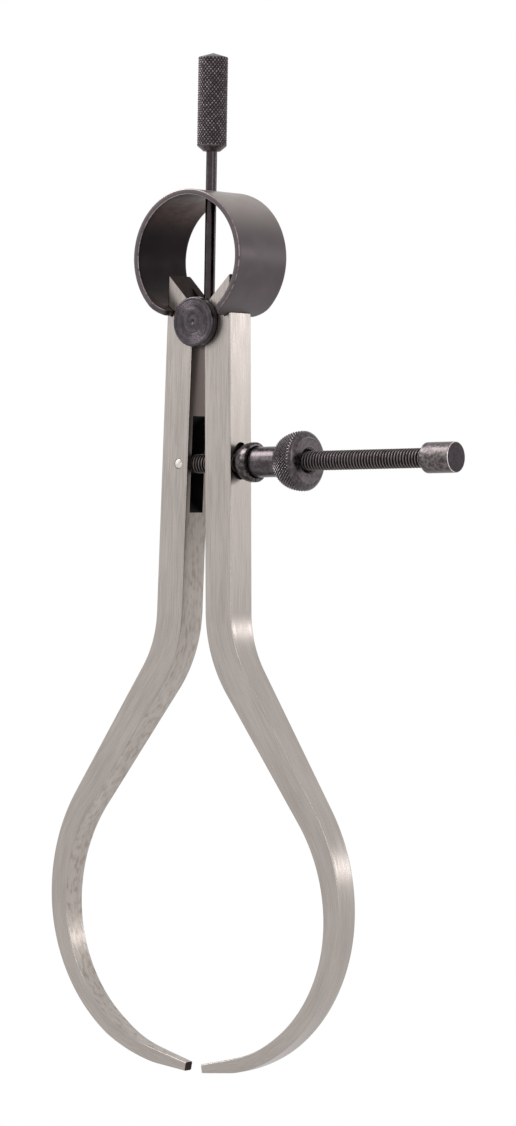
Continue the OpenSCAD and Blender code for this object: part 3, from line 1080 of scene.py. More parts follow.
@dataclass
class Legs:
    """The two legs: ground bars, bowed outwards, with their seats, slots and openings."""

    line: LegLine
    ground: bpy.types.Material
    # painted shade for the hollows, the nib and the slope
    scale: bpy.types.Material
    # painted shade inside the slot and the passage
    cavity: bpy.types.Material
    # the inner faces' brown spots, and their painted shade towards the top
    worn: bpy.types.Material
    edge_radius: float = 0.28
    # the hollow that runs on the roller, and the height at which the 45 degree slope passes it
    roller_radius: float = 3.06
    slope_offset: float = 1.646
    # the bow spring's ring, and the notch for its end
    ring_centre: float = 12.8
    notch_radii: tuple[float, float] = (12.2, 13.6)
    notch_start: float = 29.4
    notch_sweep: float = 60.0
    # the top is cut back to clear the other leg and the stem up to this angle
    open_angle: float = 29.5
    running: float = 0.06
    stem_room: float = 1.25
    # the left leg's milled slot and the hole for its pin
    pivot_drop: float = 28.5
    pivot_inset: float = 2.2
    pin_hole: float = 1.0
    slot_radius: float = 12.2
    slot_depth: float = 4.8
    slot_width: float = 4.2
    # the right leg's seat, and how far its passage opens below and above, in degrees
    ball_drop: float = 28.205
    standoff: float = 3.2968
    seat_radius: float = 3.35
    passage: tuple[float, float] = (2.0, 28.0)
    # heights over the fulcrum that tell the finishes and painted shades apart
    tip_below: float = -140.0
    slot_heights: tuple[float, float] = (-50.0, -10.0)
    hollow_above: float = -4.0
    slope_above: float = 1.0
    stem_slot_above: float = 2.0
    # how far a face's centre may be off a cut and still count as part of it
    slack: float = 0.02

    def section(self, height: float, width: float) -> np.ndarray:
        """Gives the rounded outline of the leg's section.

        Args:
            height: height over the fulcrum, for the depth.
            width: width across the leg.

        Returns:
            Rows of place across and place in depth.
        """
        deep = self.line.half_depth_at(height)
        # the rounding shrinks where the leg gets thin
        ease = min(self.edge_radius, width * 0.16, deep * 0.3)
        rows = []
        for corner, (side, face) in enumerate(((1, -1), (1, 1), (-1, 1), (-1, -1))):
            for k in range(4):
                turn = math.radians(-90 + 90 * corner + 30 * k)
                rows.append((side * (width / 2 - ease) + ease * math.cos(turn),
                             face * (deep - ease) + ease * math.sin(turn)))
            # one more point halfway along the side that follows
            rows.append((0.0, face * deep) if corner % 2 else (side * width / 2, 0.0))
        return np.array(rows)

    def blank(self) -> bpy.types.Mesh:
        """Sweeps the section along the centre line of the right leg.

        Returns:
            The closed mesh, in millimetres.
        """
        rings = []
        for x, z, heading, distance in self.line.stations:
            across, deep = self.section(z, self.line.width_at(distance)).T
            turn = math.radians(heading)
            rings.append(np.column_stack([x + across * math.cos(turn), deep, z + across * math.sin(turn)]))
        return swept_mesh("leg_blank", rings)

    def box_cutter(self, low: Place, high: Place, turn: float, lift: float = 0.0) -> bpy.types.Object:
        """Makes a block that cuts.

        Args:
            low: its lowest corner before it is turned.
            high: its highest corner.
            turn: turn about the Y axis through the origin, in degrees.
            lift: height it is raised by after that.

        Returns:
            The block.
        """
        corners = turned_about_y(np.array(list(product(*zip(low, high)))), turn) + np.array([0, 0, lift])
        faces = [[0, 1, 3, 2], [4, 6, 7, 5], [0, 4, 5, 1], [2, 3, 7, 6], [0, 2, 6, 4], [1, 5, 7, 3]]
        return shown("cutter", closed_mesh("cutter", corners, faces))

    def plate_cutter(self, outline: Profile, half: float, turn: float = 0.0) -> bpy.types.Object:
        """Makes a plate that cuts, from its outline in x and z.

        Args:
            outline: corners in order.
            half: half its thickness along Y.
            turn: turn about the Y axis through the origin, in degrees.

        Returns:
            The plate.
        """
        count = len(outline)
        corners = turned_about_y(np.array([(x, y, z) for y in (-half, half) for x, z in outline]), turn)
        faces = [list(range(count)), list(range(2 * count - 1, count - 1, -1))]
        faces += [[i, (i + 1) % count, count + (i + 1) % count, count + i] for i in range(count)]
        return shown("cutter", closed_mesh("cutter", corners, faces))

    def turned_cutter(self, axis: Axis, profile: Profile, sides: int) -> bpy.types.Object:
        """Makes a round shape that cuts, turned with the right leg.

        Args:
            axis: its line on a leg that hangs straight.
            profile: places and radii.
            sides: faces round the axis.

        Returns:
            The shape.
        """
        mesh = turned_mesh("cutter", axis, profile, sides)
        mesh.vertices.foreach_set("co", turned_about_y(corners_of(mesh) / MM, -self.line.rest).ravel())
        return shown("cutter", mesh)

    def circle(self, x: float, z: float, radius: float, count: int = 64) -> Profile:
        """Gives the corners of a circle in x and z."""
        angles = [FULL_TURN * i / count for i in range(count)]
        return [(x + radius * math.cos(a), z + radius * math.sin(a)) for a in angles]

    def ring_sector(self) -> Profile:
        """Gives the outline of the notch that holds the end of the bow spring.

        Returns:
            Corners of x and z, in order.
        """
        inner, outer = self.notch_radii
        angles = np.radians(np.linspace(self.notch_start, self.notch_start + self.notch_sweep, 40))
        return [(radius * math.sin(a), self.ring_centre - radius * math.cos(a))
                for radius, order in ((inner, angles), (outer, angles[::-1])) for a in order]

    def cutters(self, side: Side) -> list[bpy.types.Object]:
        """Makes what is cut out of a leg, drawn on the right leg.

        Args:
            side: which leg.

        Returns:
            The cutting shapes, in the order of the cuts.
        """
        line = self.line
        # far enough to pass the leg everywhere
        reach = 40.0
        made = [
            self.box_cutter((-reach, -reach, 0), (reach, reach, reach), -45, self.slope_offset),
            self.box_cutter((-reach, -reach, 0), (self.running, reach, reach), self.open_angle),
            self.box_cutter((-reach, -self.stem_room, 0), (self.stem_room, self.stem_room, reach),
                            self.open_angle),
            self.plate_cutter(self.circle(0, 0, self.roller_radius), line.depth),
            self.plate_cutter(self.ring_sector(), line.depth),
        ]
        half = self.slot_width / 2
        tilt = -line.rest
        if side is Side.LEFT:
            centre = line.inner + self.slot_depth - self.slot_radius
            slot = self.circle(centre, -self.pivot_drop, self.slot_radius, 128)
            made.append(self.plate_cutter(slot, half, tilt))
            pin = self.circle(line.inner + self.pivot_inset, -self.pivot_drop, self.pin_hole, 40)
            made.append(self.plate_cutter(pin, line.depth, tilt))
            return made
        face = line.inner + line.width
        run = self.standoff + line.width + 1
        x, z = face + self.standoff, -self.ball_drop
        low, high = (math.radians(angle) for angle in self.passage)
        outline = [(x, z), (x - run, z + run * math.tan(high)), (x - run, z - run * math.tan(low))]
        made.append(self.plate_cutter(outline, half, tilt))
        for lean in (high, -low):
            way = Axis((x, 0, z), (-math.cos(lean), 0, math.sin(lean)))
            made.append(self.turned_cutter(way, rod(0, run / math.cos(lean), half), 64))
        cone: Profile = [(face - self.seat_radius, 0), (face + 1, self.seat_radius + 1), (face + 1, 0)]
        made.append(self.turned_cutter(Axis((0, 0, z), (1, 0, 0)), cone, 96))
        return made

    def finish_of(self, middle: Vector, normal: Vector, side: Side) -> LegFace:
        """Chooses a face's finish.

        Args:
            middle: the face's centre on the right leg, in millimetres.
            normal: its normal there.
            side: which leg.

        Returns:
            The finish.
        """
        # painted shade: near black on the left leg's nib and slope, which face the other leg
        at_tip = middle.z < self.tip_below and middle.x < self.line.tip_gap and normal.x < -0.9
        on_slope = middle.z > self.slope_above and normal.dot(Vector((-0.7071, 0.0, 0.7071))) > 0.8
        if at_tip or on_slope:
            return LegFace.SCALE if side is Side.LEFT else LegFace.GROUND
        sideways = abs(normal.y) < 0.5
        # painted shade: near black on the faces of the roller's seat and of the spring's notch
        if middle.z > self.hollow_above and sideways and abs(middle.y) < self.line.depth / 2 - 0.05:
            near_roller = math.hypot(middle.x, middle.z) < self.roller_radius + 0.1
            from_ring = math.hypot(middle.x, middle.z - self.ring_centre)
            inner, outer = self.notch_radii
            in_notch = inner - 0.05 < from_ring < outer + 0.05 and middle.z > 0.5
            if near_roller or in_notch:
                return LegFace.SCALE
        across = self.line.grain_at(np.array([tuple(middle)]))[0, 1]
        buried = abs(across) < self.line.width / 2 - self.slack
        low, high = self.slot_heights
        # painted shade: near black inside the slot and the passage
        if low < middle.z < high and buried and abs(middle.y) < self.slot_width / 2 + self.slack:
            return LegFace.CAVITY
        # painted shade: near black in the cut between the leg tops, round the stem
        if middle.z > self.stem_slot_above and buried and abs(middle.y) < self.stem_room + self.slack:
            return LegFace.SCALE
        # the inner faces get brown spots, and painted shade towards the top
        return LegFace.WORN if across < 0 and sideways else LegFace.GROUND

    def leg(self, side: Side) -> bpy.types.Object:
        """Cuts one leg, turns it to its side and dresses it.

        Args:
            side: which leg.

        Returns:
            The finished leg.
        """
        piece = cut(shown(f"{side.name.lower()}_leg_ground", self.blank()), self.cutters(side))
        mesh = piece.data
        mesh.materials.clear()
        for material in (self.ground, self.scale, self.cavity, self.worn):
            mesh.materials.append(material)
        for face in mesh.polygons:
            face.material_index = self.finish_of(face.center, face.normal, side).value
        own = corners_of(mesh)
        # the legs are kept apart along the grain, so that their patterns differ
        store(mesh, "grain", self.line.grain_at(own) + np.array([400.0 * side.value, 0, 0]))
        own[:, 0] *= side.value
        mesh.vertices.foreach_set("co", (own * MM).ravel())
        if side is Side.LEFT:
            mesh.flip_normals()
        evened(piece)
        node = f"{side.name.lower()}_leg"
        return dressed(piece, Body(node), [node])

    def build(self) -> list[bpy.types.Object]:
        """Makes both legs."""
        return [self.leg(Side.LEFT), self.leg(Side.RIGHT)]


@dataclass
class BowSpring:
    """The flat strip bent to a ring, in two halves."""

    strip: bpy.types.Material
    centre: float = 12.8
    outer: float = 13.5
    inner: float = 12.3
    width: float = 15.4
    # where the strip ends, in degrees from straight down, and the radius of its corners
    end_angle: float = 30.0
    corner: float = 3.4
    # radius of its long edges
    ease: float = 0.24
    hole: float = 1.25
    # faces round one half, in each rounded edge and across the strip
    turns: int = 150
    edge_steps: int = 4
    flat_steps: int = 24
    # what is left of the thickness at the very end
    end_part: float = 0.75
    crease: float = 40.0
    # where each half would start to follow its leg, and where it would follow it wholly
    bend_from: Place = (6.0, 0.0, 26.3)
    bend_to: Place = (6.0, 0.0, 2.6)

    def half_width_at(self, from_end: float) -> float:
        """Gives half the strip's width at a distance from its rounded end."""
        left = max(0.0, self.corner - from_end)
        return self.width / 2 - self.corner + math.sqrt(max(0.0, self.corner ** 2 - left ** 2))

    def section(self, half: float) -> tuple[np.ndarray, np.ndarray]:
        """Gives the strip's rounded section.

        Args:
            half: half its width there.

        Returns:
            Rows of radius and Y, and rows of inside, rim and edge marks.
        """
        rows, marks = [], []
        last = self.edge_steps
        corners = ((self.outer, 1), (self.outer, -1), (self.inner, -1), (self.inner, 1))
        for number, (radius, face) in enumerate(corners):
            lean = -1 if radius == self.outer else 1
            for k in range(last + 1) if number % 2 else range(last, -1, -1):
                turn = math.radians(90 / last * k)
                rows.append((radius + lean * self.ease * (1 - math.cos(turn)),
                             face * (half - self.ease * (1 - math.sin(turn)))))
                marks.append((float(lean == 1 and k == 0), float(k == last), 1 - abs(2 * k / last - 1)))
            if number % 2 == 0:
                start = face * (half - self.ease)
                flat = np.linspace(start, -start, self.flat_steps + 1)[1:-1]
                rows += [(radius, float(y)) for y in flat]
                marks += [(float(lean == 1), 0.0, 0.0)] * len(flat)
        return np.array(rows), np.array(marks)

    def half(self, side: Side) -> bpy.types.Object:
        """Builds one half of the ring.

        Args:
            side: which half.

        Returns:
            The finished half.
        """
        middle = (self.outer + self.inner) / 2
        near = np.degrees(np.linspace(0, self.corner, 14) / middle) + self.end_angle
        rings: list[np.ndarray] = []
        marks: list[np.ndarray] = []
        for angle in np.concatenate([near, np.linspace(near[-1], 180.0, self.turns)[1:]]):
            from_end = math.radians(angle - self.end_angle) * middle
            rows, mark = self.section(self.half_width_at(max(from_end, 0.02)))
            radius = middle + (rows[:, 0] - middle) * (1.0 if rings else self.end_part)
            turn = math.radians(angle)
            rings.append(np.column_stack([side.value * radius * math.sin(turn), rows[:, 1],
                                          self.centre - radius * math.cos(turn)]) * MM)
            marks.append(mark)
        name = f"bow_spring_{side.name.lower()}"
        mesh = swept_mesh(name, rings)
        # the inside mark is where the strip gets its painted shade and light
        for label, values in zip(("inside", "rim", "edge"), np.concatenate(marks).T):
            store(mesh, label, values)
        mesh.materials.append(self.strip)
        piece = shown(name, mesh, self.crease)
        self.drilled(piece)
        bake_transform(piece)
        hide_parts("bow_spring")
        return piece

    def drilled(self, piece: bpy.types.Object) -> None:
        """Drills the hole that the stem passes through.

        Args:
            piece: one half of the ring.
        """
        bar = rod(self.centre, self.centre + self.outer + 1, self.hole)
        cut(piece, [turned_piece("drill", Axis((0, 0, 0), (0, 0, 1)), bar, 48)])
        evened(piece, self.crease)

    def build(self) -> list[bpy.types.Object]:
        """Makes both halves."""
        return [self.half(Side.LEFT), self.half(Side.RIGHT)]


@dataclass
class Fulcrum:
    """The roller between the legs, with a flange at each end."""

    steel: bpy.types.Material
    radius: float = 3.0
    flange: float = 5.0
    body_half: float = 3.55
    face: float = 5.35
    # radii and depths of the groove and of the centre mark in the front face
    groove: float = 2.0
    groove_depth: float = 0.05
    dimple: float = 0.55
    dimple_depth: float = 0.4
    # the tool's fine rings: their depth, and their distance outside and inside the groove
    ring_depth: float = 0.03
    ring_steps: tuple[float, float] = (0.14, 0.16)

    def build(self) -> bpy.types.Object:
        """Turns the roller.

        Returns:
            The finished roller.
        """
        outside, inside = self.ring_steps
        profile: Profile = [
            (-self.face, 0), (-self.face, self.flange), (-self.body_half, self.flange),
            (-self.body_half, self.radius), (self.body_half, self.radius), (self.body_half, self.flange),
            (self.face, self.flange), (self.face, self.flange - 0.5)]
        profile = rounded(profile, {1: 0.35, 2: 0.25, 5: 0.25, 6: 0.4})
        profile += grooved(self.face, self.flange - 0.6, self.groove + 0.3, outside, self.ring_depth)
        profile += [(self.face - self.groove_depth, self.groove)]
        profile += grooved(self.face, self.groove - 0.25, self.dimple + 0.2, inside, self.ring_depth)
        profile += [(self.face, self.dimple), (self.face - self.dimple_depth, 0)]
        forward = Axis((0, 0, 0), (0, -1, 0), (1, 0, 0))
        piece = turned_piece("fulcrum_roller_turned", forward, spaced(profile, 0.35), 96)
        return dressed(evened(piece, 25.0), Body.HEAD, ["fulcrum_roller"], [self.steel])


@dataclass
class Handle:
    """The stem and the knurled grip."""

    ridges: RidgeTree
    stem_steel: bpy.types.Material
    grip_steel: bpy.types.Material
    stem_radius: float = 1.1
    stem_low: float = -2.0
    stem_high: float = 50.0
    grip_radius: float = 3.0
    grip_low: float = 34.2
    # the cone below the knurl, the knurl's length, and the cone above it
    cone: float = 1.0
    cone_radius: float = 1.7
    length: float = 17.8
    apex: float = 0.8
    apex_radius: float = 0.15
    bevel: float = 0.12
    # the knurl: ridges of each family, their distance along the grip, and their depth
    starts: int = 24
    pitch: float = 0.9
    depth: float = 0.24

    def build(self) -> list[bpy.types.Object]:
        """Makes the stem and the grip.

        Returns:
            Both pieces.
        """
        upright = Axis((0, 0, 0), (0, 0, 1), (0, -1, 0))
        bar = rounded(rod(self.stem_low, self.stem_high, self.stem_radius), {1: 0.2, 2: 0.2})
        stem = turned_piece("handle_stem_rod", upright, spaced(bar, 2.0), 48)
        dressed(stem, Body.HEAD, ["handle_stem"], [self.stem_steel])
        low, high = self.grip_low + self.cone, self.grip_low + self.cone + self.length
        bevel, top = self.bevel, high + self.apex
        outline: Profile = [(self.grip_low, 0), (self.grip_low, self.cone_radius),
                            (low, self.grip_radius - bevel), (low + bevel, self.grip_radius),
                            (high - bevel, self.grip_radius), (high, self.grip_radius - bevel),
                            (top, self.apex_radius), (top, 0)]
        # nine points along each ridge and eight round it are enough for its shape
        fine = spaced(outline, self.pitch / 9)
        grip = turned_piece("handle_grip_knurled", upright, fine, self.starts * 8, SMOOTH)
        self.ridges.rolled(grip, self.grip_steel, Starts=self.starts, Lead=self.starts * self.pitch,
                           Depth=self.depth, Crossing=1, Flat=0.12, From=low, To=high, Fade=0.25)
        dressed(grip, Body.HEAD, ["handle_grip"])
        return [stem, grip]


@dataclass
class ScrewLine:
    """Everything on the screw: its pivot, its thread, the ball washer, the nut and the end stop."""

    ridges: RidgeTree
    thread_steel: bpy.types.Material
    washer_steel: bpy.types.Material
    nut_steel: bpy.types.Material
    stop_steel: bpy.types.Material
    stop_face_steel: bpy.types.Material
    pin_steel: bpy.types.Material
    # centre of the pin and direction of the screw; places below are distances from the pin
    pivot: Place = (-4.44477, 0.0, -28.39338)
    along: Place = (0.999450, 0.0, 0.033155)
    thread_radius: float = 1.95
    thread_depth: float = 0.4
    pitch: float = 0.7
    thread_from: float = 1.7
    thread_to: float = 63.7
    eye_radius: float = 2.15
    eye_half: float = 1.95
    eye_room: float = 0.06
    pin_radius: float = 0.95
    pin_half: float = 3.45
    # the ball nose: its centre and radius; the face behind it, and the recess for the nut's neck
    ball: float = 16.484
    ball_radius: float = 4.0
    washer_face: float = 0.7
    washer_bore: float = 2.05
    recess_radius: float = 3.15
    recess_depth: float = 1.0
    # the nut: its neck, the bell that widens to the rim, and its end face
    neck_start: float = 16.24
    neck_radius: float = 3.05
    bell: float = 23.88
    rim: float = 28.88
    nut_end: float = 30.28
    nut_radius: float = 6.0
    nut_face: float = 4.5
    nut_bore: float = 2.01
    nut_mouth: float = 2.75
    knurl_starts: int = 54
    knurl_pitch: float = 0.7
    knurl_depth: float = 0.3
    # the cap, slanted where it meets the rod
    stop_start: float = 58.18
    stop_end: float = 65.48
    stop_radius: float = 3.0
    stop_slant: float = 0.7

    def axis(self) -> Axis:
        """Gives the screw's own line."""
        return Axis(self.pivot, self.along)

    def swing_axis(self) -> Axis:
        """Gives the pin's line, towards the front."""
        return Axis(self.pivot, (0, -1, 0), (1, 0, 0))

    def pin(self) -> bpy.types.Object:
        """Makes the pin that the screw swings on.

        Returns:
            The finished pin.
        """
        outline = rounded(rod(-self.pin_half, self.pin_half, self.pin_radius), {1: 0.12, 2: 0.12})
        piece = turned_piece("screw_pivot_pin_filed", self.swing_axis(), outline, 40)
        return dressed(piece, Body.LEFT_LEG, ["screw_pivot_pin"], [self.pin_steel])

    def screw(self) -> bpy.types.Object:
        """Makes the threaded rod with its eye.

        Returns:
            The finished screw.
        """
        start, end = self.thread_from, self.thread_to
        bar = spaced(rod(start, end, self.thread_radius), self.pitch / 8)
        piece = turned_piece("adjusting_screw_threaded", self.axis(), bar, 28, SMOOTH)
        self.ridges.rolled(piece, self.thread_steel, Starts=1, Lead=self.pitch, Depth=self.thread_depth,
                           Crossing=0, Flat=0.2, From=start, To=end, Fade=0.3)
        inner, outer, half = self.pin_radius + self.eye_room, self.eye_radius, self.eye_half
        loop = rounded([(-half, inner), (-half, outer), (half, outer), (half, inner)], {1: 0.2, 2: 0.2})
        eye = turned_piece("eye", self.swing_axis(), loop, 64, ring=True)
        eye.data.materials.append(self.thread_steel)
        store(eye.data, "crest", np.full(len(eye.data.vertices), PLAIN_CREST))
        bpy.ops.object.select_all(action="DESELECT")
        piece.select_set(True)
        eye.select_set(True)
        bpy.context.view_layer.objects.active = piece
        bpy.ops.object.join()
        return dressed(piece, Body.SCREW, ["adjusting_screw"])

    def washer(self) -> bpy.types.Object:
        """Makes the washer whose ball nose sits in the right leg.

        Returns:
            The finished washer.
        """
        radius, face = self.ball_radius, self.washer_face
        first = math.asin(self.washer_bore / radius)
        last = math.acos(face / radius)
        nose = [(self.ball - radius * math.cos(a), radius * math.sin(a))
                for a in np.linspace(first, math.pi - last, 40)]
        lip, bevel = 0.2, 0.12
        at = self.ball + face
        nose[-1] = (at - lip, nose[-1][1] - 0.01)
        widest, floor = nose[-1][1], at - self.recess_depth
        loop: Profile = nose + [(at - lip * 0.3, widest - lip * 0.25), (at, widest - lip),
                                (at, self.recess_radius + bevel), (at - bevel, self.recess_radius),
                                (floor, self.recess_radius), (floor, self.washer_bore)]
        piece = turned_piece("seat_washer_ball", self.axis(), loop, 96, ring=True)
        return dressed(piece, Body.WASHER, ["seat_washer"], [self.washer_steel])

    def nut(self) -> bpy.types.Object:
        """Makes the nut, with a knurl rolled over its bell.

        Returns:
            The finished nut.
        """
        span, low, high = self.rim - self.bell, self.neck_radius, self.nut_radius
        bell = [(self.bell + span * t, low + (high - low) * math.sqrt(1 - (1 - t) ** 2))
                for t in (1 - math.cos(math.radians(a)) for a in np.linspace(0, 90, 60))]
        crown = [(self.rim + (self.nut_end - self.rim) * math.sin(math.radians(a)),
                  self.nut_face + (self.nut_radius - self.nut_face) * math.cos(math.radians(a)))
                 for a in np.linspace(0, 90, 14)]
        mouth = self.nut_end - self.nut_mouth + self.nut_bore
        bevel = 0.15
        outside = spaced([(self.neck_start, low - bevel), (self.neck_start + bevel, low),
                          (self.bell - 0.05, low)], 1.0)
        outside += spaced(bell, self.knurl_pitch / 5)[1:] + spaced(crown, 0.25)[1:]
        # fine rings of the tool on the end face, clear of both its edges
        face = grooved(self.nut_end, self.nut_face - 0.1, self.nut_mouth + 0.1, 0.11, 0.02)
        face.append((self.nut_end, self.nut_mouth))
        loop = [(self.neck_start, self.nut_bore)] + outside + face + [(mouth, self.nut_bore)]
        starts = self.knurl_starts
        piece = turned_piece("adjusting_nut_knurled", self.axis(), loop, starts * 6, SMOOTH, ring=True)
        self.ridges.rolled(piece, self.nut_steel, Starts=starts, Lead=starts * self.knurl_pitch,
                           Depth=self.knurl_depth, Crossing=1, Flat=0.12, From=self.bell + 0.15,
                           To=self.rim + 0.5, Fade=0.3)
        piece.data.set_sharp_from_angle(angle=math.radians(60))
        return dressed(piece, Body.NUT, ["adjusting_nut"])

    def stop(self) -> bpy.types.Object:
        """Makes the cap on the screw's outer end.

        Returns:
            The finished cap.
        """
        start, end, radius, slant = self.stop_start, self.stop_end, self.stop_radius, self.stop_slant
        outline = rounded([(start, 0), (start, radius - slant), (start + slant, radius), (end, radius),
                           (end, 0)], {1: 0.3, 2: 0.3, 3: 0.2})
        piece = evened(turned_piece("end_stop_cap", self.axis(), spaced(outline, 0.5), 72))
        along = Vector(self.along)
        for face in piece.data.polygons:
            lean = face.normal.dot(along)
            # 1 for the faced end, 2 for the bright rounding beside it, 0 for the rest
            face.material_index = int(lean > 0.95) + 2 * int(0.2 < lean <= 0.95)
        finishes = [self.stop_steel, self.stop_face_steel, self.pin_steel]
        return dressed(piece, Body.SCREW, ["end_stop"], finishes)

    def build(self) -> list[bpy.types.Object]:
        """Makes every piece on the screw."""
        return [self.pin(), self.screw(), self.washer(), self.nut(), self.stop()]


def swung(first: Vector, second: Vector, degrees: float) -> tuple[Vector, Vector]:
    """Turns two directions at right angles in their plane, the first towards the second."""
    cosine, sine = math.cos(math.radians(degrees)), math.sin(math.radians(degrees))
    return (first * cosine + second * sine, second * cosine - first * sine)


@dataclass
class Studio:
    """The pale floor, the soft lights and the camera."""

    # where the camera stands and how it is turned off the target, in millimetres and degrees
    target: Place = (0.0, 0.0, -75.0)
    azimuth: float = 38.639
    elevation: float = 3.379
    distance: float = 783.8
    pan: float = 0.780
    tilt: float = 1.972
    roll: float = 0.927
    lens: float = 124.72
    sensor: float = 36.0
    # the floor's height and half its side, in metres
    floor_height: float = -0.42
    floor_half: float = 3.0
    # strength of the light that the white background sheds
    daylight: float = 0.75

    def camera(self) -> None:
        """Sets up the camera at the photograph's viewing angle."""
        az, el = math.radians(self.azimuth), math.radians(self.elevation)
        right = Vector((math.cos(az), math.sin(az), 0))
        forward = Vector((-math.sin(az) * math.cos(el), math.cos(az) * math.cos(el), -math.sin(el)))
        up = right.cross(forward)
        spot = Vector(self.target) * MM - forward * self.distance * MM
        forward, right = swung(forward, right, self.pan)
        forward, up = swung(forward, up, self.tilt)
        right, up = swung(right, up, self.roll)
        data = bpy.data.cameras.new("camera")
        data.lens = self.lens
        data.sensor_width = self.sensor
        data.clip_start, data.clip_end = 0.01, 20.0
        camera = bpy.data.objects.new("camera", data)
        bpy.context.scene.collection.objects.link(camera)
        turn = Matrix((right, up, -forward)).transposed().to_4x4()
        camera.matrix_world = Matrix.Translation(spot) @ turn
        bpy.context.scene.camera = camera

    def lamp(self, name: str, azimuth: float, elevation: float, reach: float, size: tuple[float, float],
             power: float) -> None:
        """Hangs a soft rectangular light that faces the caliper.

        Args:
            name: its name.
            azimuth: direction in degrees, measured as the camera's.
            elevation: height in degrees.
            reach: distance in metres.
            size: width and height in metres.
            power: watts.
        """
        az, el = math.radians(azimuth), math.radians(elevation)
        back = Vector((math.sin(az) * math.cos(el), -math.cos(az) * math.cos(el), math.sin(el)))
        data = bpy.data.lights.new(name, "AREA")
        data.shape = "RECTANGLE"
        data.size, data.size_y = size
        data.energy = power
        light = bpy.data.objects.new(name, data)
        bpy.context.scene.collection.objects.link(light)
        light.location = Vector(self.target) * MM + back * reach
        light.rotation_mode = "QUATERNION"
        light.rotation_quaternion = back.to_track_quat("Z", "Y")

    def seen_white(self, tree: bpy.types.NodeTree) -> bpy.types.Node:
        """Adds the test for rays that are to see white.

        Args:
            tree: the background's or the floor's tree.

        Returns:
            The node that gives 1 for the camera's rays and for reflections, and 0 for the rest.
        """
        path = add_node(tree, "ShaderNodeLightPath").outputs
        seen = add_node(tree, "ShaderNodeMath", {0: path["Is Camera Ray"], 1: path["Is Glossy Ray"]},
                        operation="MAXIMUM")
        return add_node(tree, "ShaderNodeMath", {0: seen, 1: path["Is Transmission Ray"]},
                        operation="MAXIMUM")

    def surroundings(self) -> None:
        """Makes the white background and the pale floor."""
        world = bpy.data.worlds.new("studio")
        bpy.context.scene.world = world
        world.use_nodes = True
        tree = world.node_tree
        tree.nodes.clear()
        level = add_node(tree, "ShaderNodeMapRange",
                         {"Value": self.seen_white(tree), "To Min": self.daylight, "To Max": 1.0})
        sky = add_node(tree, "ShaderNodeBackground", {"Color": "#FFFFFF", "Strength": level})
        add_node(tree, "ShaderNodeOutputWorld", {"Surface": sky})
        half, low = self.floor_half, self.floor_height
        mesh = bpy.data.meshes.new("floor")
        mesh.from_pydata([(-half, -half, low), (half, -half, low), (half, half, low), (-half, half, low)],
                         [], [[0, 1, 2, 3]])
        floor = bpy.data.objects.new("floor", mesh)
        bpy.context.scene.collection.objects.link(floor)
        paint = bpy.data.materials.new("pale_floor")
        paint.use_nodes = True
        tree = paint.node_tree
        tree.nodes.clear()
        matt = add_node(tree, "ShaderNodeBsdfDiffuse", {"Color": "#F2F1EF"})
        glow = add_node(tree, "ShaderNodeEmission", {"Color": "#FFFFFF", "Strength": 1.0})
        both = add_node(tree, "ShaderNodeMixShader", {0: self.seen_white(tree), 1: matt, 2: glow})
        add_node(tree, "ShaderNodeOutputMaterial", {"Surface": both})
        mesh.materials.append(paint)

    def build(self) -> None:
        """Sets up floor, lights and camera."""
        self.surroundings()
        self.lamp("left", -62, 45, 1.0, (0.45, 0.45), 6.5)
        self.lamp("face", -50, 20, 1.1, (0.25, 0.25), 1.2)
        self.lamp("strip", 66, 22, 1.1, (0.16, 0.80), 2.0)
        self.lamp("glint", 142, 11, 1.0, (0.12, 0.10), 0.34)
        self.camera()
        bpy.context.scene.view_settings.view_transform = "Standard"


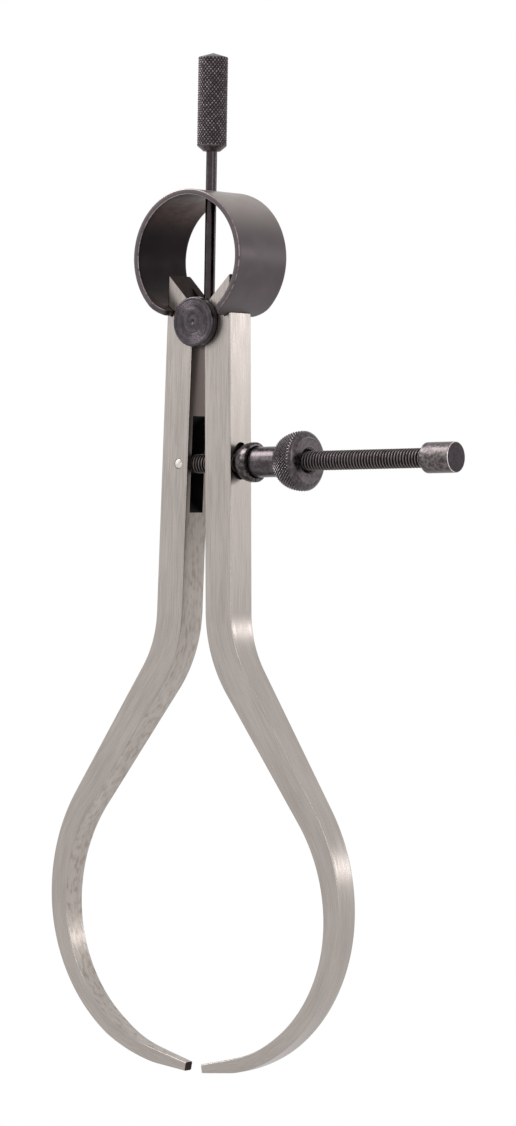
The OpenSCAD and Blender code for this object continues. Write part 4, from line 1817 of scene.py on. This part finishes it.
def main() -> None:
    """Builds the caliper and its studio."""
    logging.basicConfig(level=logging.INFO, format="%(message)s")
    # the legs' pale silky faces, with streaks of light along them
    ground = GroundSteel("ground_leg_steel", "#9F9792", "#AEA6A1", 0.3, relief=0.004).build()
    # their inner sides, spotted from handling, with painted shade darkening them towards the top, so that the
    # bow reads as a hollow
    worn = WornGroundSteel("worn_inner_leg_steel", "#A39B95", "#B3ABA5", 0.32, relief=0.004).build()
    # brown-black painted shade in the hollows at the legs' tops, and on the left leg's nib and slope, which
    # face the other leg
    scale = MottledSteel("hardening_scale", "#190D0A", "#38231C", 0.6, metallic=0.1, specular=0.12).build()
    # near-black painted shade inside the slot and the passage, so that they read as openings
    cavity = MottledSteel("milled_slot_inside", "#080707", "#15110F", 0.7, metallic=0.1, specular=0.2).build()
    # the dark satin ring, bright along its rubbed edges, with a painted highlight on its top and painted
    # shade and light inside
    strip = BluedStrip("blued_spring_strip", "#544D50", "#5E5759", 0.42).build()
    # the roller's face, which glints in rings
    turned = TurnedSteel("turned_roller_steel", "#3B3639", "#5C565A", 0.27, rings=6.0).build()
    # a smooth dark rod with one long highlight
    stem_steel = TurnedSteel("drawn_stem_steel", "#3E383A", "#4A4345", 0.22, relief=0.003, rings=0.6).build()
    # dark diamonds with rubbed crests
    grip_steel = RidgedSteel("knurled_grip_steel", "#4E4648", "#6C6366", 0.38).build()
    # finer diamonds, rubbed brighter by the fingers
    nut_steel = RidgedSteel("knurled_nut_steel", "#443E40", "#5C5658", 0.3, wear=0.25).build()
    # the screw's row of fine lines, darker than everything round it
    thread_steel = RidgedSteel("threaded_screw_steel", "#262122", "#383233", 0.4, crest="#726A6A",
                               wear=0.35).build()
    # a dark smooth ball with soft reflections
    washer_steel = MottledSteel("washer_oxide_steel", "#332D2F", "#6B6465", 0.26, patch=0.8).build()
    # the cap's pitted and speckled skin
    stop_steel = MottledSteel("pitted_cap_steel", "#463F41", "#827B7A", 0.38, relief=0.03, patch=0.7,
                              fleck=0.2).build()
    # its darker end, faced in rings
    stop_face_steel = TurnedSteel("faced_cap_end_steel", "#2E272B", "#463E42", 0.42, rings=4.0).build()
    # a pale dot on the left leg, and the cap's bright rounding
    pin_steel = BrightSteel("filed_pin_steel", "#B9B3AC", "#DDD8D2", 0.3).build()
    ridges = RidgeTree()
    parts: list[Callable[[], Any]] = [
        Legs(LegLine(), ground, scale, cavity, worn).build,
        BowSpring(strip).build,
        Fulcrum(turned).build,
        Handle(ridges, stem_steel, grip_steel).build,
        ScrewLine(ridges, thread_steel, washer_steel, nut_steel, stop_steel, stop_face_steel,
                  pin_steel).build,
        Studio().build,
    ]
    for build in parts:
        build()


if __name__ == "__main__":
    main()
